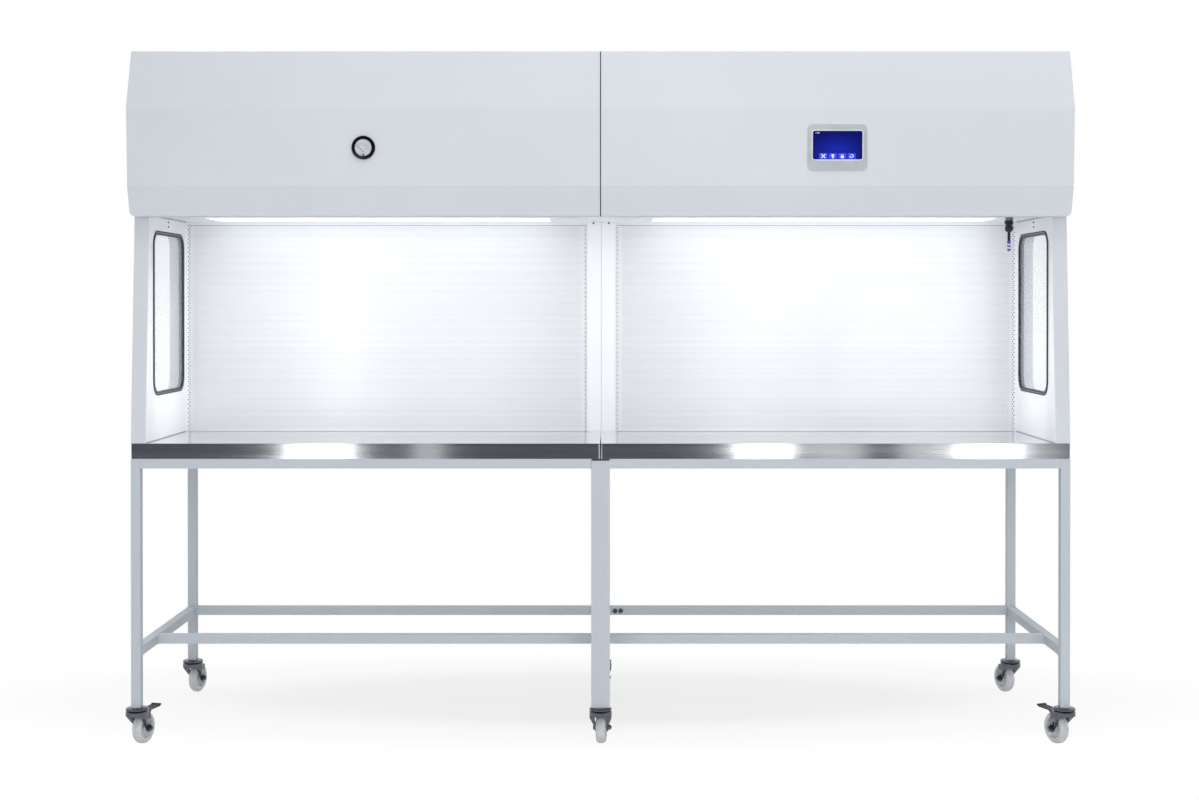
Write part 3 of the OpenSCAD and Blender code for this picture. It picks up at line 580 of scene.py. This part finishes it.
def tree_with(name, inputs):
    """A geometry tree with named inputs. Returns its graph and its input node."""
    tree = bpy.data.node_groups.new(name, "GeometryNodeTree")
    graph = Graph(tree)
    tree.interface.new_socket("Geometry", in_out="INPUT", socket_type="NodeSocketGeometry")
    tree.interface.new_socket("Geometry", in_out="OUTPUT", socket_type="NodeSocketGeometry")
    for label, kind in inputs.items():
        tree.interface.new_socket(label, in_out="INPUT", socket_type="NodeSocket" + kind)
    return graph, graph.add("NodeGroupInput")


def closed_off(graph, entry, geometry):
    """Ends a tree: its instances made real, with the finish set."""
    real = graph.add("GeometryNodeRealizeInstances", {"Geometry": geometry})
    finish = graph.add("GeometryNodeSetMaterial", {
        "Geometry": real.outputs[0], "Material": entry.outputs["Finish"]})
    graph.add("NodeGroupOutput", {"Geometry": finish.outputs[0]})
    return graph.tree


def instances(graph, entry, points, turn=None):
    """The template on every point."""
    template = graph.add("GeometryNodeObjectInfo", {"Object": entry.outputs["Template"]})
    wires = {"Points": points, "Instance": template.outputs["Geometry"]}
    if turn is not None:
        wires["Rotation"] = turn
    return graph.add("GeometryNodeInstanceOnPoints", wires).outputs[0]


def repeat_tree():
    """Sets a template on every point of a mesh, all turned the same way."""
    graph, entry = tree_with("repeat_on_points", {
        "Template": "Object", "Turn": "Vector", "Finish": "Material"})
    spread = instances(graph, entry, entry.outputs["Geometry"], entry.outputs["Turn"])
    return closed_off(graph, entry, spread)


def bead_tree():
    """Sets a template at an even pitch along every edge of a mesh."""
    graph, entry = tree_with("beads_along_edges", {
        "Template": "Object", "Pitch": "Float", "Finish": "Material"})
    path = graph.add("GeometryNodeMeshToCurve", {"Mesh": entry.outputs["Geometry"]})
    even = graph.add("GeometryNodeResampleCurve", {
        "Curve": path.outputs[0], "Length": entry.outputs["Pitch"]}, mode="LENGTH")
    return closed_off(graph, entry, instances(graph, entry, even.outputs[0]))


def arc_tree():
    """Sets a template at equal steps round an arc, each turned to face outwards."""
    graph, entry = tree_with("marks_round_an_arc", {
        "Template": "Object", "Count": "Int", "Radius": "Float", "Start": "Float",
        "Sweep": "Float", "Finish": "Material"})
    row = graph.add("GeometryNodeMeshLine", {"Count": entry.outputs["Count"]})
    index = graph.level(graph.add("GeometryNodeInputIndex").outputs[0])
    step = graph.level(entry.outputs["Sweep"]) / (graph.level(entry.outputs["Count"]) - 1)
    angle = graph.level(entry.outputs["Start"]) + index * step
    radius = graph.level(entry.outputs["Radius"])
    place = graph.add("ShaderNodeCombineXYZ", {
        0: radius * angle.put("COSINE"), 1: radius * angle.put("SINE")})
    moved = graph.add("GeometryNodeSetPosition", {
        "Geometry": row.outputs[0], "Position": place.outputs[0]})
    turn = graph.add("ShaderNodeCombineXYZ", {2: angle})
    return closed_off(graph, entry, instances(graph, entry, moved.outputs[0], turn.outputs[0]))


def perforation_tree():
    """A field of cells with a hole in each, every other row moved by half a pitch."""
    graph, entry = tree_with("perforated_field", {
        "Template": "Object", "Columns": "Int", "Rows": "Int", "Pitch": "Float",
        "Finish": "Material"})
    pitch = graph.level(entry.outputs["Pitch"])
    rise = pitch * math.sqrt(0.75)
    columns = graph.level(entry.outputs["Columns"])
    rows = graph.level(entry.outputs["Rows"])
    grid = graph.add("GeometryNodeMeshGrid", {
        "Size X": pitch * (columns - 1), "Size Y": rise * (rows - 1),
        "Vertices X": entry.outputs["Columns"], "Vertices Y": entry.outputs["Rows"]})
    height = graph.axes(graph.add("GeometryNodeInputPosition").outputs[0])[1]
    row = (height / rise + (rows - 1) * 0.5).put("ROUND")
    shift = ((row % 2) - 0.5) * 0.5 * pitch
    offset = graph.add("ShaderNodeCombineXYZ", {0: shift})
    moved = graph.add("GeometryNodeSetPosition", {
        "Geometry": grid.outputs["Mesh"], "Offset": offset.outputs[0]})
    spread = instances(graph, entry, moved.outputs[0])
    real = graph.add("GeometryNodeRealizeInstances", {"Geometry": spread})
    welded = graph.add("GeometryNodeMergeByDistance", {
        "Geometry": real.outputs[0], "Distance": 0.05 * MM})
    return closed_off(graph, entry, welded.outputs[0])


REPEAT = repeat_tree()
BEADS = bead_tree()
ARC = arc_tree()
PERFORATE = perforation_tree()


def grown(tree, seed, template, **values):
    """Runs a tree on a seed mesh with a template mesh, and returns the plain mesh it makes."""
    sample = bpy.data.objects.new("template", template)
    holder = placed("holder", seed)
    modifier = holder.modifiers.new("grow", "NODES")
    modifier.node_group = tree
    values["Template"] = sample
    for item in tree.interface.items_tree:
        if item.in_out == "INPUT" and item.name in values:
            modifier[item.identifier] = values[item.name]
    mesh = applied(holder)
    bpy.data.objects.remove(sample)
    return mesh


def points_mesh(points, edges=()):
    """A seed of loose points, or of points joined by edges."""
    mesh = bpy.data.meshes.new("seed")
    mesh.from_pydata(points, edges, [])
    return mesh


def spread_out(name, points, template, turn, material):
    """A template repeated on points, as one piece."""
    mesh = grown(REPEAT, points_mesh(points), template, Turn=turn, Finish=material)
    settle(mesh)
    piece(name, mesh, material)


# Diffusers

def perforated_cell(pitch, hole):
    """A hexagonal cell of sheet with a hexagonal hole, its face up."""
    shape = bmesh.new()
    outer, inner = [], []
    reach = pitch / math.sqrt(3)
    for i in range(6):
        a = math.radians(60 * i + 30)
        outer.append(shape.verts.new((reach * math.cos(a), reach * math.sin(a), 0)))
        inner.append(shape.verts.new((hole * math.cos(a), hole * math.sin(a), 0)))
    for i in range(6):
        j = (i + 1) % 6
        shape.faces.new([outer[i], outer[j], inner[j], inner[i]])
    return as_mesh(shape, "cell")


def diffuser(side):
    """A folded tray whose face is perforated right up to its edges."""
    node = side + "_diffuser"
    low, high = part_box(node)
    pitch, hole = 9 * MM, 2.3 * MM
    # The cut round the field, the inner edge of the plain margin, and the fold
    edge, lap, fold = 1.0 * MM, 1.6 * MM, 1.2 * MM
    columns = int((high.x - low.x) / pitch) + 2
    rows = int((high.z - low.z) / (pitch * math.sqrt(0.75))) + 3
    field = grown(PERFORATE, points_mesh([]), perforated_cell(pitch, hole),
                  Columns=columns, Rows=rows, Pitch=pitch, Finish=INSIDE)
    middle = Vector(((low.x + high.x) / 2, low.y, (low.z + high.z) / 2))
    field.transform(Matrix.Translation(middle) @ Matrix.Rotation(QUARTER, 4, "X"))
    whole = as_shape(field)
    for corner, sign in ((low, -1), (high, 1)):
        for way in ((1, 0, 0), (0, 0, 1)):
            normal = Vector(way) * sign
            everything = whole.verts[:] + whole.edges[:] + whole.faces[:]
            bmesh.ops.bisect_plane(whole, geom=everything, plane_co=corner - normal * edge,
                                   plane_no=normal, clear_outer=True)

    def loop(inset, y):
        return [(low.x + inset, y, low.z + inset), (high.x - inset, y, low.z + inset),
                (high.x - inset, y, high.z - inset), (low.x + inset, y, high.z - inset)]
    face = low.y - 0.15 * MM
    loops = [loop(lap, face), loop(fold, face), loop(0, low.y + fold), loop(0, high.y)]
    rings = [[whole.verts.new(p) for p in points] for points in loops]
    for inner, outer in zip(rings, rings[1:]):
        for i in range(4):
            j = (i + 1) % 4
            whole.faces.new([inner[j], inner[i], outer[i], outer[j]])
    made = piece(side + "_perforated_sheet", as_mesh(whole, node + "_mesh"), INSIDE)
    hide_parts(node)


def diffuser_gaskets():
    """Dark strips behind the sheets' edges, seen through the first holes: painted shade where the
    tray's inside lies unlit.
    """
    shapes = []
    by_wall, by_post, top = 18 * MM, 9 * MM, 12 * MM
    side_gap, end_gap = 2 * MM, 3 * MM
    for side in SIDES:
        low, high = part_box(side + "_diffuser")
        near, far = (by_wall, by_post) if side == "left" else (by_post, by_wall)
        foot, head = low.z + end_gap, high.z - end_gap
        left, right = low.x + near, high.x - far
        for x0, z0, x1 in ((low.x + side_gap, foot, left), (right, foot, high.x - side_gap),
                           (left, high.z - top, right)):
            shapes.append(block(Vector((x0, low.y + 1.4 * MM, z0)),
                                Vector((x1, low.y + 3.6 * MM, head))))
    assembled("diffuser_gaskets", shapes, STRIP)


for side in SIDES:
    diffuser(side)
# Painted shade behind the diffusers' edges, seen through the first holes
diffuser_gaskets()

# Cabinet and stand

for side in SIDES:
    softened(side + "_worktop", 2.2, STEEL, segments=4)
    softened(side + "_fascia", 0.8, COAT)
    softened(side + "_side_wall", 0.8, WALL_COAT)
    softened(side + "_rear_casing", 0, COAT)
    softened(side + "_stand_frame", 1.6, STAND_COAT, segments=3)
    paint(side + "_ceiling", INSIDE)
    paint(side + "_filter", MEDIA)
    paint(side + "_impeller", ALUMINIUM)
softened("centre_post", 0.5, INSIDE)
softened("roof_panels", 0, COAT)
softened("window_seals", 0.8, SEAL, segments=3)
softened("gauge_body", 1.2, BLACK, segments=3)
softened("touch_bezel", 1.2, BEZEL, segments=3)
for name, material in (
    ("window_panes", PANE), ("light_panels", LIGHT), ("worktop_joint_strip", STRIP),
    ("prefilters", MEDIA), ("fan_decks", GALVANISED), ("fan_motors", CAST),
    ("control_box", GREY_BOX), ("power_inlet", BLACK), ("frame_bolts", DARK_ZINC),
    ("gauge_lens", LENS), ("gauge_dial", DIAL), ("gauge_pointer", POINTER),
    ("touch_screen", SCREEN),
):
    paint(name, material)


def seal_highlight_cords():
    """A cord in the groove of each window seal, its paler grey a painted highlight along the
    seal's face.
    """
    low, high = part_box("window_seals")
    middle = ((low.y + high.y) / 2, (low.z + high.z) / 2)
    corner, face = 52.5 * MM, WALL - 3 * MM
    # How far in from the seal's edge and how deep from its face, in millimetres
    section = ((4.1, 1.0), (4.1, 0.2), (4.9, -0.25), (7.1, -0.25), (7.9, 0.2), (7.9, 1.0))
    shapes = []
    for sign in (-1, 1):
        loops = []
        for inset, depth in section:
            inset *= MM
            points = round_rectangle(high.y - low.y - 2 * inset, high.z - low.z - 2 * inset,
                                     corner - inset, 12, middle)
            loops.append([Vector((sign * (face + depth * MM), y, z)) for y, z in points])
        shapes.append(lofted(loops, closed=True))
    assembled("window_seal_fillers", shapes, SEAL_HIGHLIGHT_GREY)


def corner_beads():
    """Sealant where the side walls meet the ceiling and the worktops, and in the post's seam."""
    fillet = [(0, 0), (3, 0), (1.9, 0.8), (0.8, 1.9), (0, 3)]
    end = 504
    shapes = []
    for sign in (-1, 1):
        for z, up, start in ((CEILING, -1, 51), (TOP, 1, 3)):
            corner = Vector((sign * WALL, FRONT + start * MM, z))
            along = Vector((0, (end - start) * MM, 0))
            loop = [corner + Vector((-sign * x * MM, 0, up * h * MM)) for x, h in fillet]
            shapes.append(lofted([loop, [p + along for p in loop]], capped=True))
    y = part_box("centre_post")[0].y
    shapes.append(block(Vector((-0.25 * MM, y - 0.2 * MM, TOP + 1 * MM)),
                        Vector((0.25 * MM, y + 0.3 * MM, CEILING - 2 * MM)), 0.05 * MM))
    assembled("corner_sealant", shapes, SEALANT)


def middle_strips():
    """The strip in the fascias' seam, and the cover over the ceiling's."""
    roof, ceiling = ROOF / MM, CEILING / MM
    profile = ((13, roof - 0.6), (-CANOPY_LEAD, roof - FOLD_DROP),
               (FOLD_BACK - CANOPY_LEAD, ceiling + FOLD_RISE), (-5.2, ceiling - 7.4))
    section = ((-1.7, -0.1), (-1.4, -0.3), (1.4, -0.3), (1.7, -0.1), (1.7, 0.1), (0.95, 0.1),
               (0.95, 3), (-0.95, 3), (-0.95, 0.1), (-1.7, 0.1))
    loops = [[front(x, y + back, z) for x, back in section] for y, z in profile]
    assembled("fascia_seam_strip", [lofted(loops, capped=True)], STRIP)
    wide, thick, start = 5 * MM, 0.5 * MM, 50 * MM
    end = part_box("centre_post")[0].y - 0.5 * MM
    cover = block(Vector((-wide, FRONT + start, CEILING - thick)),
                  Vector((wide, end, CEILING)), 0.2 * MM)
    assembled("ceiling_joint_cover", [cover], INSIDE)


def screw_head(radius, height, steps=10):
    """A domed head with a recess, its base at height 0, from sizes in millimetres."""
    profile = [(0, 0.4), (0.42, 0.4), (0.42, 1), (0.72, 0.86), (1, 0.35), (1, 0), (0, 0)]
    profile = [(radius * r * MM, height * h * MM) for r, h in profile]
    return outward_mesh(revolved(profile, Matrix.Identity(4), steps), "screw")


def small_screws():
    """Screws in the chamber, round the rear casings and on the roof panels."""
    for sign, name in ((1, "right"), (-1, "left")):
        points = [(sign * WALL, FRONT + 275 * MM, CEILING - drop * MM) for drop in (13.5, 28)]
        spread_out(name + "_wall_screws", points, screw_head(2.8, 3.4),
                   (0, -sign * QUARTER, 0), DARK_ZINC)
    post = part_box("centre_post")[0].y
    points = [(x * MM, post, CEILING - 5 * MM) for x in (-27, 26)]
    spread_out("post_screws", points, screw_head(3.6, 2.6), (QUARTER, 0, 0), DARK_ZINC)
    # Even rows along each cabinet's long edges, and fewer along its short ones
    margin, gap, row = 20 * MM, 25, 1450
    low, high = TOP + margin, ROOF - margin
    casing, roof = [], []
    for sign in (-1, 1):
        for i in range(9):
            x = sign * (gap + i * row / 8) * MM
            casing += [(x, BACK, low), (x, BACK, high)]
            roof += [(x, FRONT + 68 * MM, ROOF), (x, BACK - 18 * MM, ROOF)]
        for i in range(1, 7):
            z = low + i * (high - low) / 7
            casing += [(sign * x * MM, BACK, z) for x in (gap, gap + row)]
        for y in (240, 410, 580):
            roof += [(sign * x * MM, FRONT + y * MM, ROOF) for x in (20, 1480)]
    spread_out("casing_screws", casing, screw_head(4.5, 2.4), (-QUARTER, 0, 0), SCREW_ZINC)
    spread_out("roof_screws", roof, screw_head(4.5, 2.4), (0, 0, 0), SCREW_ZINC)


def filter_guards():
    """A wire guard over each prefilter, just inside the roof's opening."""
    # The long wires lie over the cross ones; the way is across the wires of each layer
    layers = (("long", (0, 1), 15, 380, 598, 1.9, (0, QUARTER, 0)),
              ("cross", (1, 0), 23, 578, 398, 3.9, (QUARTER, 0, 0)))
    for name, way, count, span, length, depth, turn in layers:
        points = []
        for sign in (-1, 1):
            for i in range(count):
                off = (i / (count - 1) - 0.5) * span
                points.append(front(sign * CONTROL_X + off * way[0], 400 + off * way[1],
                                    ROOF / MM - depth))
        r, half = 1 * MM, length / 2 * MM
        profile = [(0, -half), (r, -half), (r, half), (0, half)]
        wire = outward_mesh(revolved(profile, Matrix.Identity(4), 8), "wire")
        spread_out("guard_wires_" + name, points, wire, turn, WIRE)


def weld_beads():
    """Rippled welds round the ends of the stand's rails."""
    half = TUBE / 2
    low, top = LOW_RAIL_Z + half, TOP_RAIL_Z + half
    long_rails = ((FRONT_Y, top), (REAR_Y, top), (REAR_Y, low), (MID_RAIL_Y, low))
    leg_faces = (TUBE, REAR_Y - half)
    spots = []
    for sign in (-1, 1):
        spots += [("x", sign * (LEG_X - half), y, z) for y, z in long_rails]
        spots += [("y", sign * LEG_X, y, z) for z in (top, low) for y in leg_faces]
    # At the centre legs, and where the middle rail meets the rail between them
    spots += [("x", -TUBE, y, z) for y, z in long_rails[:3]]
    spots.append(("x", -half, MID_RAIL_Y, low))
    spots += [("y", 0, y, low) for y in leg_faces]
    points, edges = [], []
    for axis, a, b, z in spots:
        base = len(points)
        for u, v in ((-half, -half), (half, -half), (half, half), (-half, half)):
            points.append(front(a, b + u, z + v) if axis == "x" else front(a + u, b, z + v))
        edges += [(base + i, base + (i + 1) % 4) for i in range(4)]
    blob = bmesh.new()
    bmesh.ops.create_uvsphere(blob, u_segments=6, v_segments=4, radius=2.1 * MM)
    mesh = grown(BEADS, points_mesh(points, edges), outward_mesh(blob, "blob"), Pitch=2.6 * MM,
                 Finish=STAND_COAT)
    settle(mesh, 80)
    piece("frame_welds", mesh, STAND_COAT)


seal_highlight_cords()
corner_beads()
middle_strips()
small_screws()
filter_guards()
weld_beads()


# Gauge, touch panel and sensor

def lettered(text, size, place):
    """Flat figures as a mesh."""
    curve = bpy.data.curves.new("figures", "FONT")
    curve.body = text
    curve.size = size
    curve.align_x = "CENTER"
    curve.align_y = "CENTER"
    curve.extrude = 0.05 * MM
    curve.resolution_u = 3
    mesh = applied(placed("figures", curve))
    bpy.data.curves.remove(curve)
    mesh.transform(place)
    return as_shape(mesh)


def gauge_marks():
    """Lines and figures round the pointer's pivot, the cap on it and the zero screw."""
    face = PIVOT @ nudge(0, 0, 5.62)
    start, sweep, figures = math.radians(146), math.radians(-132), 7
    shapes = []
    for count, length, width in ((figures, 3.4, 0.7), (31, 1.9, 0.35)):
        x, y = -length * MM, width / 2 * MM
        line = plate([(x, -y), (0, -y), (0, y), (x, y)], 0.12 * MM, Matrix.Identity(4))
        lines = grown(ARC, points_mesh([]), outward_mesh(line, "mark"), Count=count,
                      Radius=24 * MM, Start=start, Sweep=sweep, Finish=DIAL_INK)
        lines.transform(face)
        shapes.append(as_shape(lines))
    for i in range(figures):
        a = start + sweep * i / (figures - 1)
        spot = nudge(17.6 * math.cos(a), 17.6 * math.sin(a), 0.1)
        shapes.append(lettered(str(i * 10), 4.2 * MM, face @ spot))
    assembled("gauge_scale", shapes, DIAL_INK)
    cap = turned(((0, 7.9), (1.7, 7.9), (2.4, 7.4), (2.4, 7.05), (0, 7.05)), PIVOT, 24)
    assembled("gauge_cap", [cap], DIAL)
    screw = turned(((0, 7.6), (2.6, 7.6), (3.3, 7.0), (3.3, 5.6), (0, 5.6)),
                   GAUGE @ nudge(0, -22.5, 0), 20)
    assembled("gauge_zero_screw", [screw], BLACK)


def screen_parts():
    """The pale rim round the screen, its keys with plain signs, and the strip below."""
    screen_w, screen_h, up, level = 157, 90, 7, 3.5
    rim = []
    for grow, z in ((0, 3.6), (0, 4.3), (0.7, 4.7), (3.0, 4.7), (3.7, 4.3), (3.7, 3.9)):
        points = round_rectangle(screen_w + 2 * grow, screen_h + 2 * grow, 6 + grow, 6, (0, up))
        rim.append([PANEL @ Vector((x * MM, y * MM, z * MM)) for x, y in points])
    assembled("screen_rim", [lofted(rim, closed=True)], RIM)

    def tile(outline, thickness, place, ease=0.0):
        """A plate from sizes in millimetres."""
        outline = [(x * MM, y * MM) for x, y in outline]
        return plate(outline, thickness * MM, place, ease * MM)
    strip = tile(round_rectangle(72, 4.4, 1.5), 0.35, PANEL @ nudge(2, -52, 3.8), 0.1)
    assembled("panel_strip", [strip], RECESS)
    keys, signs = [], []
    for i in range(4):
        spot = PANEL @ nudge((i - 1.5) * 29.8, up - 34.5, level)
        keys.append(tile(round_rectangle(25.5, 18, 2), 0.25, spot, 0.05))
        above = spot @ nudge(0, 0, 0.25)

        def flat(outline, turn=0.0, x=0.0, y=0.0):
            place = above @ nudge(x, y, 0) @ Matrix.Rotation(math.radians(turn), 4, "Z")
            signs.append(tile(outline, 0.15, place))

        def band(radius, width, begin=0, sweep=360, x=0.0, y=0.0):
            outer = circle(radius, 20, (x, y), begin, sweep)
            inner = circle(radius - width, 20, (x, y), begin, sweep)
            count = len(outer)
            for k in range(count if sweep == 360 else count - 1):
                n = (k + 1) % count
                flat([outer[k], outer[n], inner[n], inner[k]])
        if i == 0:
            for turn in (45, -45):
                flat(round_rectangle(14, 2.4, 1.0, 3), turn)
                for end in (-1, 1):
                    a = math.radians(turn)
                    flat(circle(2.3, 12), 0, end * 6.0 * math.cos(a), end * 6.0 * math.sin(a))
        elif i == 1:
            flat(circle(4.6, 18), 0, 0, 1.8)
            flat([(-2.0, -6.8), (2.0, -6.8), (2.8, -1.5), (-2.8, -1.5)])
        elif i == 2:
            flat(round_rectangle(9.5, 7.6, 1.2, 3), 0, 0, -2.6)
            band(3.9, 1.5, 0, 180, 0, 1.2)
        else:
            band(5.4, 2.0, -150, 300, 0.5, 0.4)
            flat([(-7.4, -1.6), (-1.9, -1.0), (-5.0, -5.6)])
    for i in range(3):
        wide, half = 3.2, (1.8 + i * 0.9) / 2
        signs.append(tile([(0, -half), (wide, -half), (wide, half), (0, half)], 0.15,
                          PANEL @ nudge(-70 + i * 4.6, up + 38.5, level)))
    assembled("screen_keys", keys, KEY)
    assembled("screen_signs", signs, SYMBOL)


def sensor():
    """A ribbed nut under the ceiling, a black cable gland, a stem and a blue tip."""
    low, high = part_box("sensor_probe")
    axis = Matrix.Translation(((low.x + high.x) / 2, (low.y + high.y) / 2, CEILING))
    nut = ((0, 9.8), (9.9, 9.8), (9.9, 0.1), (13.2, 0), (13.6, -0.8), (13.6, -4), (12.9, -4.6),
           (12.9, -5.4), (13.6, -6), (13.6, -9), (12.9, -9.6), (12.9, -10.4), (13.6, -11),
           (13.6, -14), (12.8, -15), (0, -15))
    made = assembled("sensor_nut", [turned(nut, axis)], NUT)
    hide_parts("sensor_gland")
    gland = ((0, -14.9), (13.4, -14.9), (14.2, -15.8), (14.2, -25.8), (13.2, -27.2),
             (10.4, -28.4), (9.6, -30.4), (10.2, -32.6), (12.6, -34.2), (13.4, -37.6),
             (13.4, -42), (12.2, -46.6), (9.6, -50), (6.6, -52), (5.0, -52.6), (4.8, -54),
             (4.8, -80.6), (0, -80.6))
    made = assembled("sensor_stem", [turned(gland, axis)], FITTING)
    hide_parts("sensor_probe")
    tip = ((0, -80.5), (5.2, -80.5), (5.8, -81.4), (5.8, -109), (5.0, -112.4), (3.0, -114.4),
           (0, -115))
    assembled("sensor_tip", [turned(tip, axis)], PROBE)
    bead = ((5.0, 3.2), (5.9, 3.0), (6.7, 1.6), (6.9, 0), (6.7, -1.6), (5.9, -3.0), (5.0, -3.2))
    beads = [turned([(r, z + rise) for r, rise in bead], axis, 20) for z in (-93, -104)]
    assembled("sensor_beads", beads, BEAD)


gauge_marks()
screen_parts()
sensor()

# Casters

# The swivel axis of each, across and from the front, and its angle at rest
CASTERS = {
    "front_left": (-LEG_X, FRONT_Y, 16), "front_centre": (0, FRONT_Y, 4),
    "front_right": (LEG_X, FRONT_Y, -23), "rear_left": (-LEG_X, REAR_Y, 12.5),
    "rear_centre": (0, REAR_Y, 0), "rear_right": (LEG_X, REAR_Y, -20),
}


def fork_flanges(spot):
    """The rounded front edges of a pressed fork, which fold in towards the wheel."""
    x, y, turn = CASTERS[spot]
    place = Matrix.Translation(front(x, y, 0)) @ Matrix.Rotation(math.radians(-turn), 4, "Z")
    # Height, place of the leg's front edge and half width of the fork
    stations = ((106.3, -8, 34.6), (99, -8, 34.9), (93, -6.5, 34.7), (87, -2.5, 33.8),
                (80, 2.4, 32.0), (73, 7.4, 29.4), (66, 12.6, 26.4), (60, 17.2, 23.8),
                (55, 21.4, 21.9))
    inner = 18.2
    shapes = []
    for sign in (-1, 1):
        loops = []
        for z, v, wide in stations:
            section = ((inner, v), (wide - 2.2, v), (wide - 0.6, v + 0.7), (wide, v + 2.4),
                       (wide, v + 5.5), (wide - 1.6, v + 5.5), (wide - 1.9, v + 2.6),
                       (wide - 2.6, v + 1.7), (inner, v + 1.7))
            loops.append([place @ Vector((sign * u * MM, w * MM, z * MM)) for u, w in section])
        shapes.append(lofted(loops, capped=True))
    assembled("fork_flanges_" + spot, shapes, ZINC, "swivel_" + spot)


softened("caster_stems", 0.5, ZINC)
for spot in CASTERS:
    fork_flanges(spot)
    softened("fork_" + spot, 0.6, ZINC, "swivel_" + spot)
    softened("axle_" + spot, 0.4, ZINC, "swivel_" + spot)
    softened("wheel_" + spot, 0.5, WHEEL, "roller_" + spot)
for spot in ("front_left", "front_right"):
    softened("pedal_" + spot, 0.8, PEDAL, "brake_" + spot)


# Stage

def sky():
    """A white backdrop for the camera and for gloss, and an even light on the object."""
    world = bpy.data.worlds.new("studio")
    bpy.context.scene.world = world
    world.use_nodes = True
    g = Graph(world.node_tree)
    camera, gloss, through = g.rays()
    x, y = g.axes(g.add("ShaderNodeTexCoord").outputs["Generated"])[:2]
    # Gloss sees a dim room in front of the hood, and the even light is weaker at the sides
    mirrored = g.mix(g.between(y, -0.25, 0.15), (0.08, 0.087, 0.10, 1), (1, 1, 1, 1))
    strength = 0.50 - g.between(x ** 2, 0.15, 0.75) * 0.14
    even = g.add("ShaderNodeBackground", {0: (0.97, 0.985, 1.0, 1), 1: strength})
    shine = g.add("ShaderNodeBackground", {0: mirrored, 1: 1.0})
    white = g.add("ShaderNodeBackground", {0: (1, 1, 1, 1), 1: 1.0})
    lit = g.blend(gloss, even, shine)
    whole = g.blend(camera.higher(through), lit, white)
    g.add("ShaderNodeOutputWorld", {"Surface": whole.outputs[0]})


def floor():
    """A white floor that keeps a soft shadow near the object and is plain further off."""
    shape = bmesh.new()
    corners = ((-30, -6, 0), (30, -6, 0), (30, 30, 0), (-30, 30, 0))
    shape.faces.new([shape.verts.new(p) for p in corners])
    made = placed("floor", outward_mesh(shape, "floor"))
    f = Finish("floor_white", **{"Base Color": linear(218, 218, 219), "Roughness": 0.9})
    x, y = f.axes(f.place)[:2]
    aside = y - 0.30
    away = (x * x * 0.3 + aside * aside * 3) ** 0.5
    camera, gloss, through = f.rays()
    share = f.between(away, 0.5, 0.95) * 0.18 + f.between(away, 0.95, 1.4) * 0.11 + 0.71
    plain = f.add("ShaderNodeEmission", {0: (1, 1, 1, 1), 1: 1.0})
    mixed = f.blend(share * camera.higher(gloss).higher(through), f.shader, plain)
    f.tree.links.new(mixed.outputs[0], f.output.inputs["Surface"])
    made.data.materials.append(f.material)


def lamp(name, place, aim, size, glow, mirrored=True, shown=True, spread=180):
    """A soft box of the given radiance; one that isn't mirrored leaves no highlight."""
    light = bpy.data.lights.new(name, "AREA")
    light.shape = "RECTANGLE"
    light.size, light.size_y = size
    light.energy = glow * math.pi * size[0] * size[1]
    light.spread = math.radians(spread)
    made = placed(name, light)
    made.location = place
    made.rotation_euler = (Vector(aim) - Vector(place)).to_track_quat("-Z", "Y").to_euler()
    made.visible_glossy = mirrored
    made.visible_camera = shown


def lights():
    """Fills from all round, one into each chamber, and the boxes that the steel mirrors."""
    unseen = {"mirrored": False, "shown": False}
    lamp("front_fill", (0.2, FRONT - 6.0, 2.0), (0.1, 0, 1.2), (6.0, 3.0), 1.95,
         mirrored=False)
    lamp("overhead_front", (0.7, FRONT - 2.0, 5.2), (0.2, FRONT, 1.9), (4.0, 2.0), 2.6,
         mirrored=False)
    lamp("back_fill", (-0.5, BACK + 5.0, 2.6), (0, BACK, 1.3), (6.0, 3.0), 1.5, **unseen)
    for side in (-1, 1):
        lamp("side_fill", (side * 5.0, 0.4, 3.6), (side * 1.5, 0.1, 1.5), (2.5, 2.0), 3.6,
             **unseen)
        x, y = side * 0.74, FRONT + 0.09
        lamp("chamber_fill", (x, y, 1.24), (x, FRONT + 0.50, 1.20), (1.2, 0.50), 0.88,
             **unseen)
        y = FRONT + 0.25
        lamp("wall_fill", (side * 0.85, y, 1.26), (side * 1.45, y, 1.22), (0.62, 0.40), 0.6,
             spread=70, **unseen)
    # Tall boxes far in front: place across, width and radiance of each
    for x, width, glow in ((-1.594, 0.34, 3.4), (-0.985, 0.16, 0.6), (0.885, 0.26, 4.0),
                           (1.310, 0.29, 0.55), (1.780, 0.26, 0.55), (2.145, 0.33, 3.4),
                           (2.47, 0.22, 0.25)):
        lamp("soft_box", (x, FRONT - 4.0, 0.9), (x, 0, 0.9), (width, 1.8), glow)


sky()
floor()
lights()

camera = bpy.data.cameras.new("camera")
camera.lens = 50.26
camera.sensor_width = 36
camera.shift_x = -0.0087
camera.shift_y = -0.0722
eye = placed("camera", camera)
eye.location = (0.030, FRONT - 5.341, 1.416)
eye.rotation_euler = (math.radians(90 - 0.33), 0, 0)
bpy.context.scene.camera = eye
bpy.context.scene.view_settings.view_transform = "Standard"

bpy.context.view_layer.update()
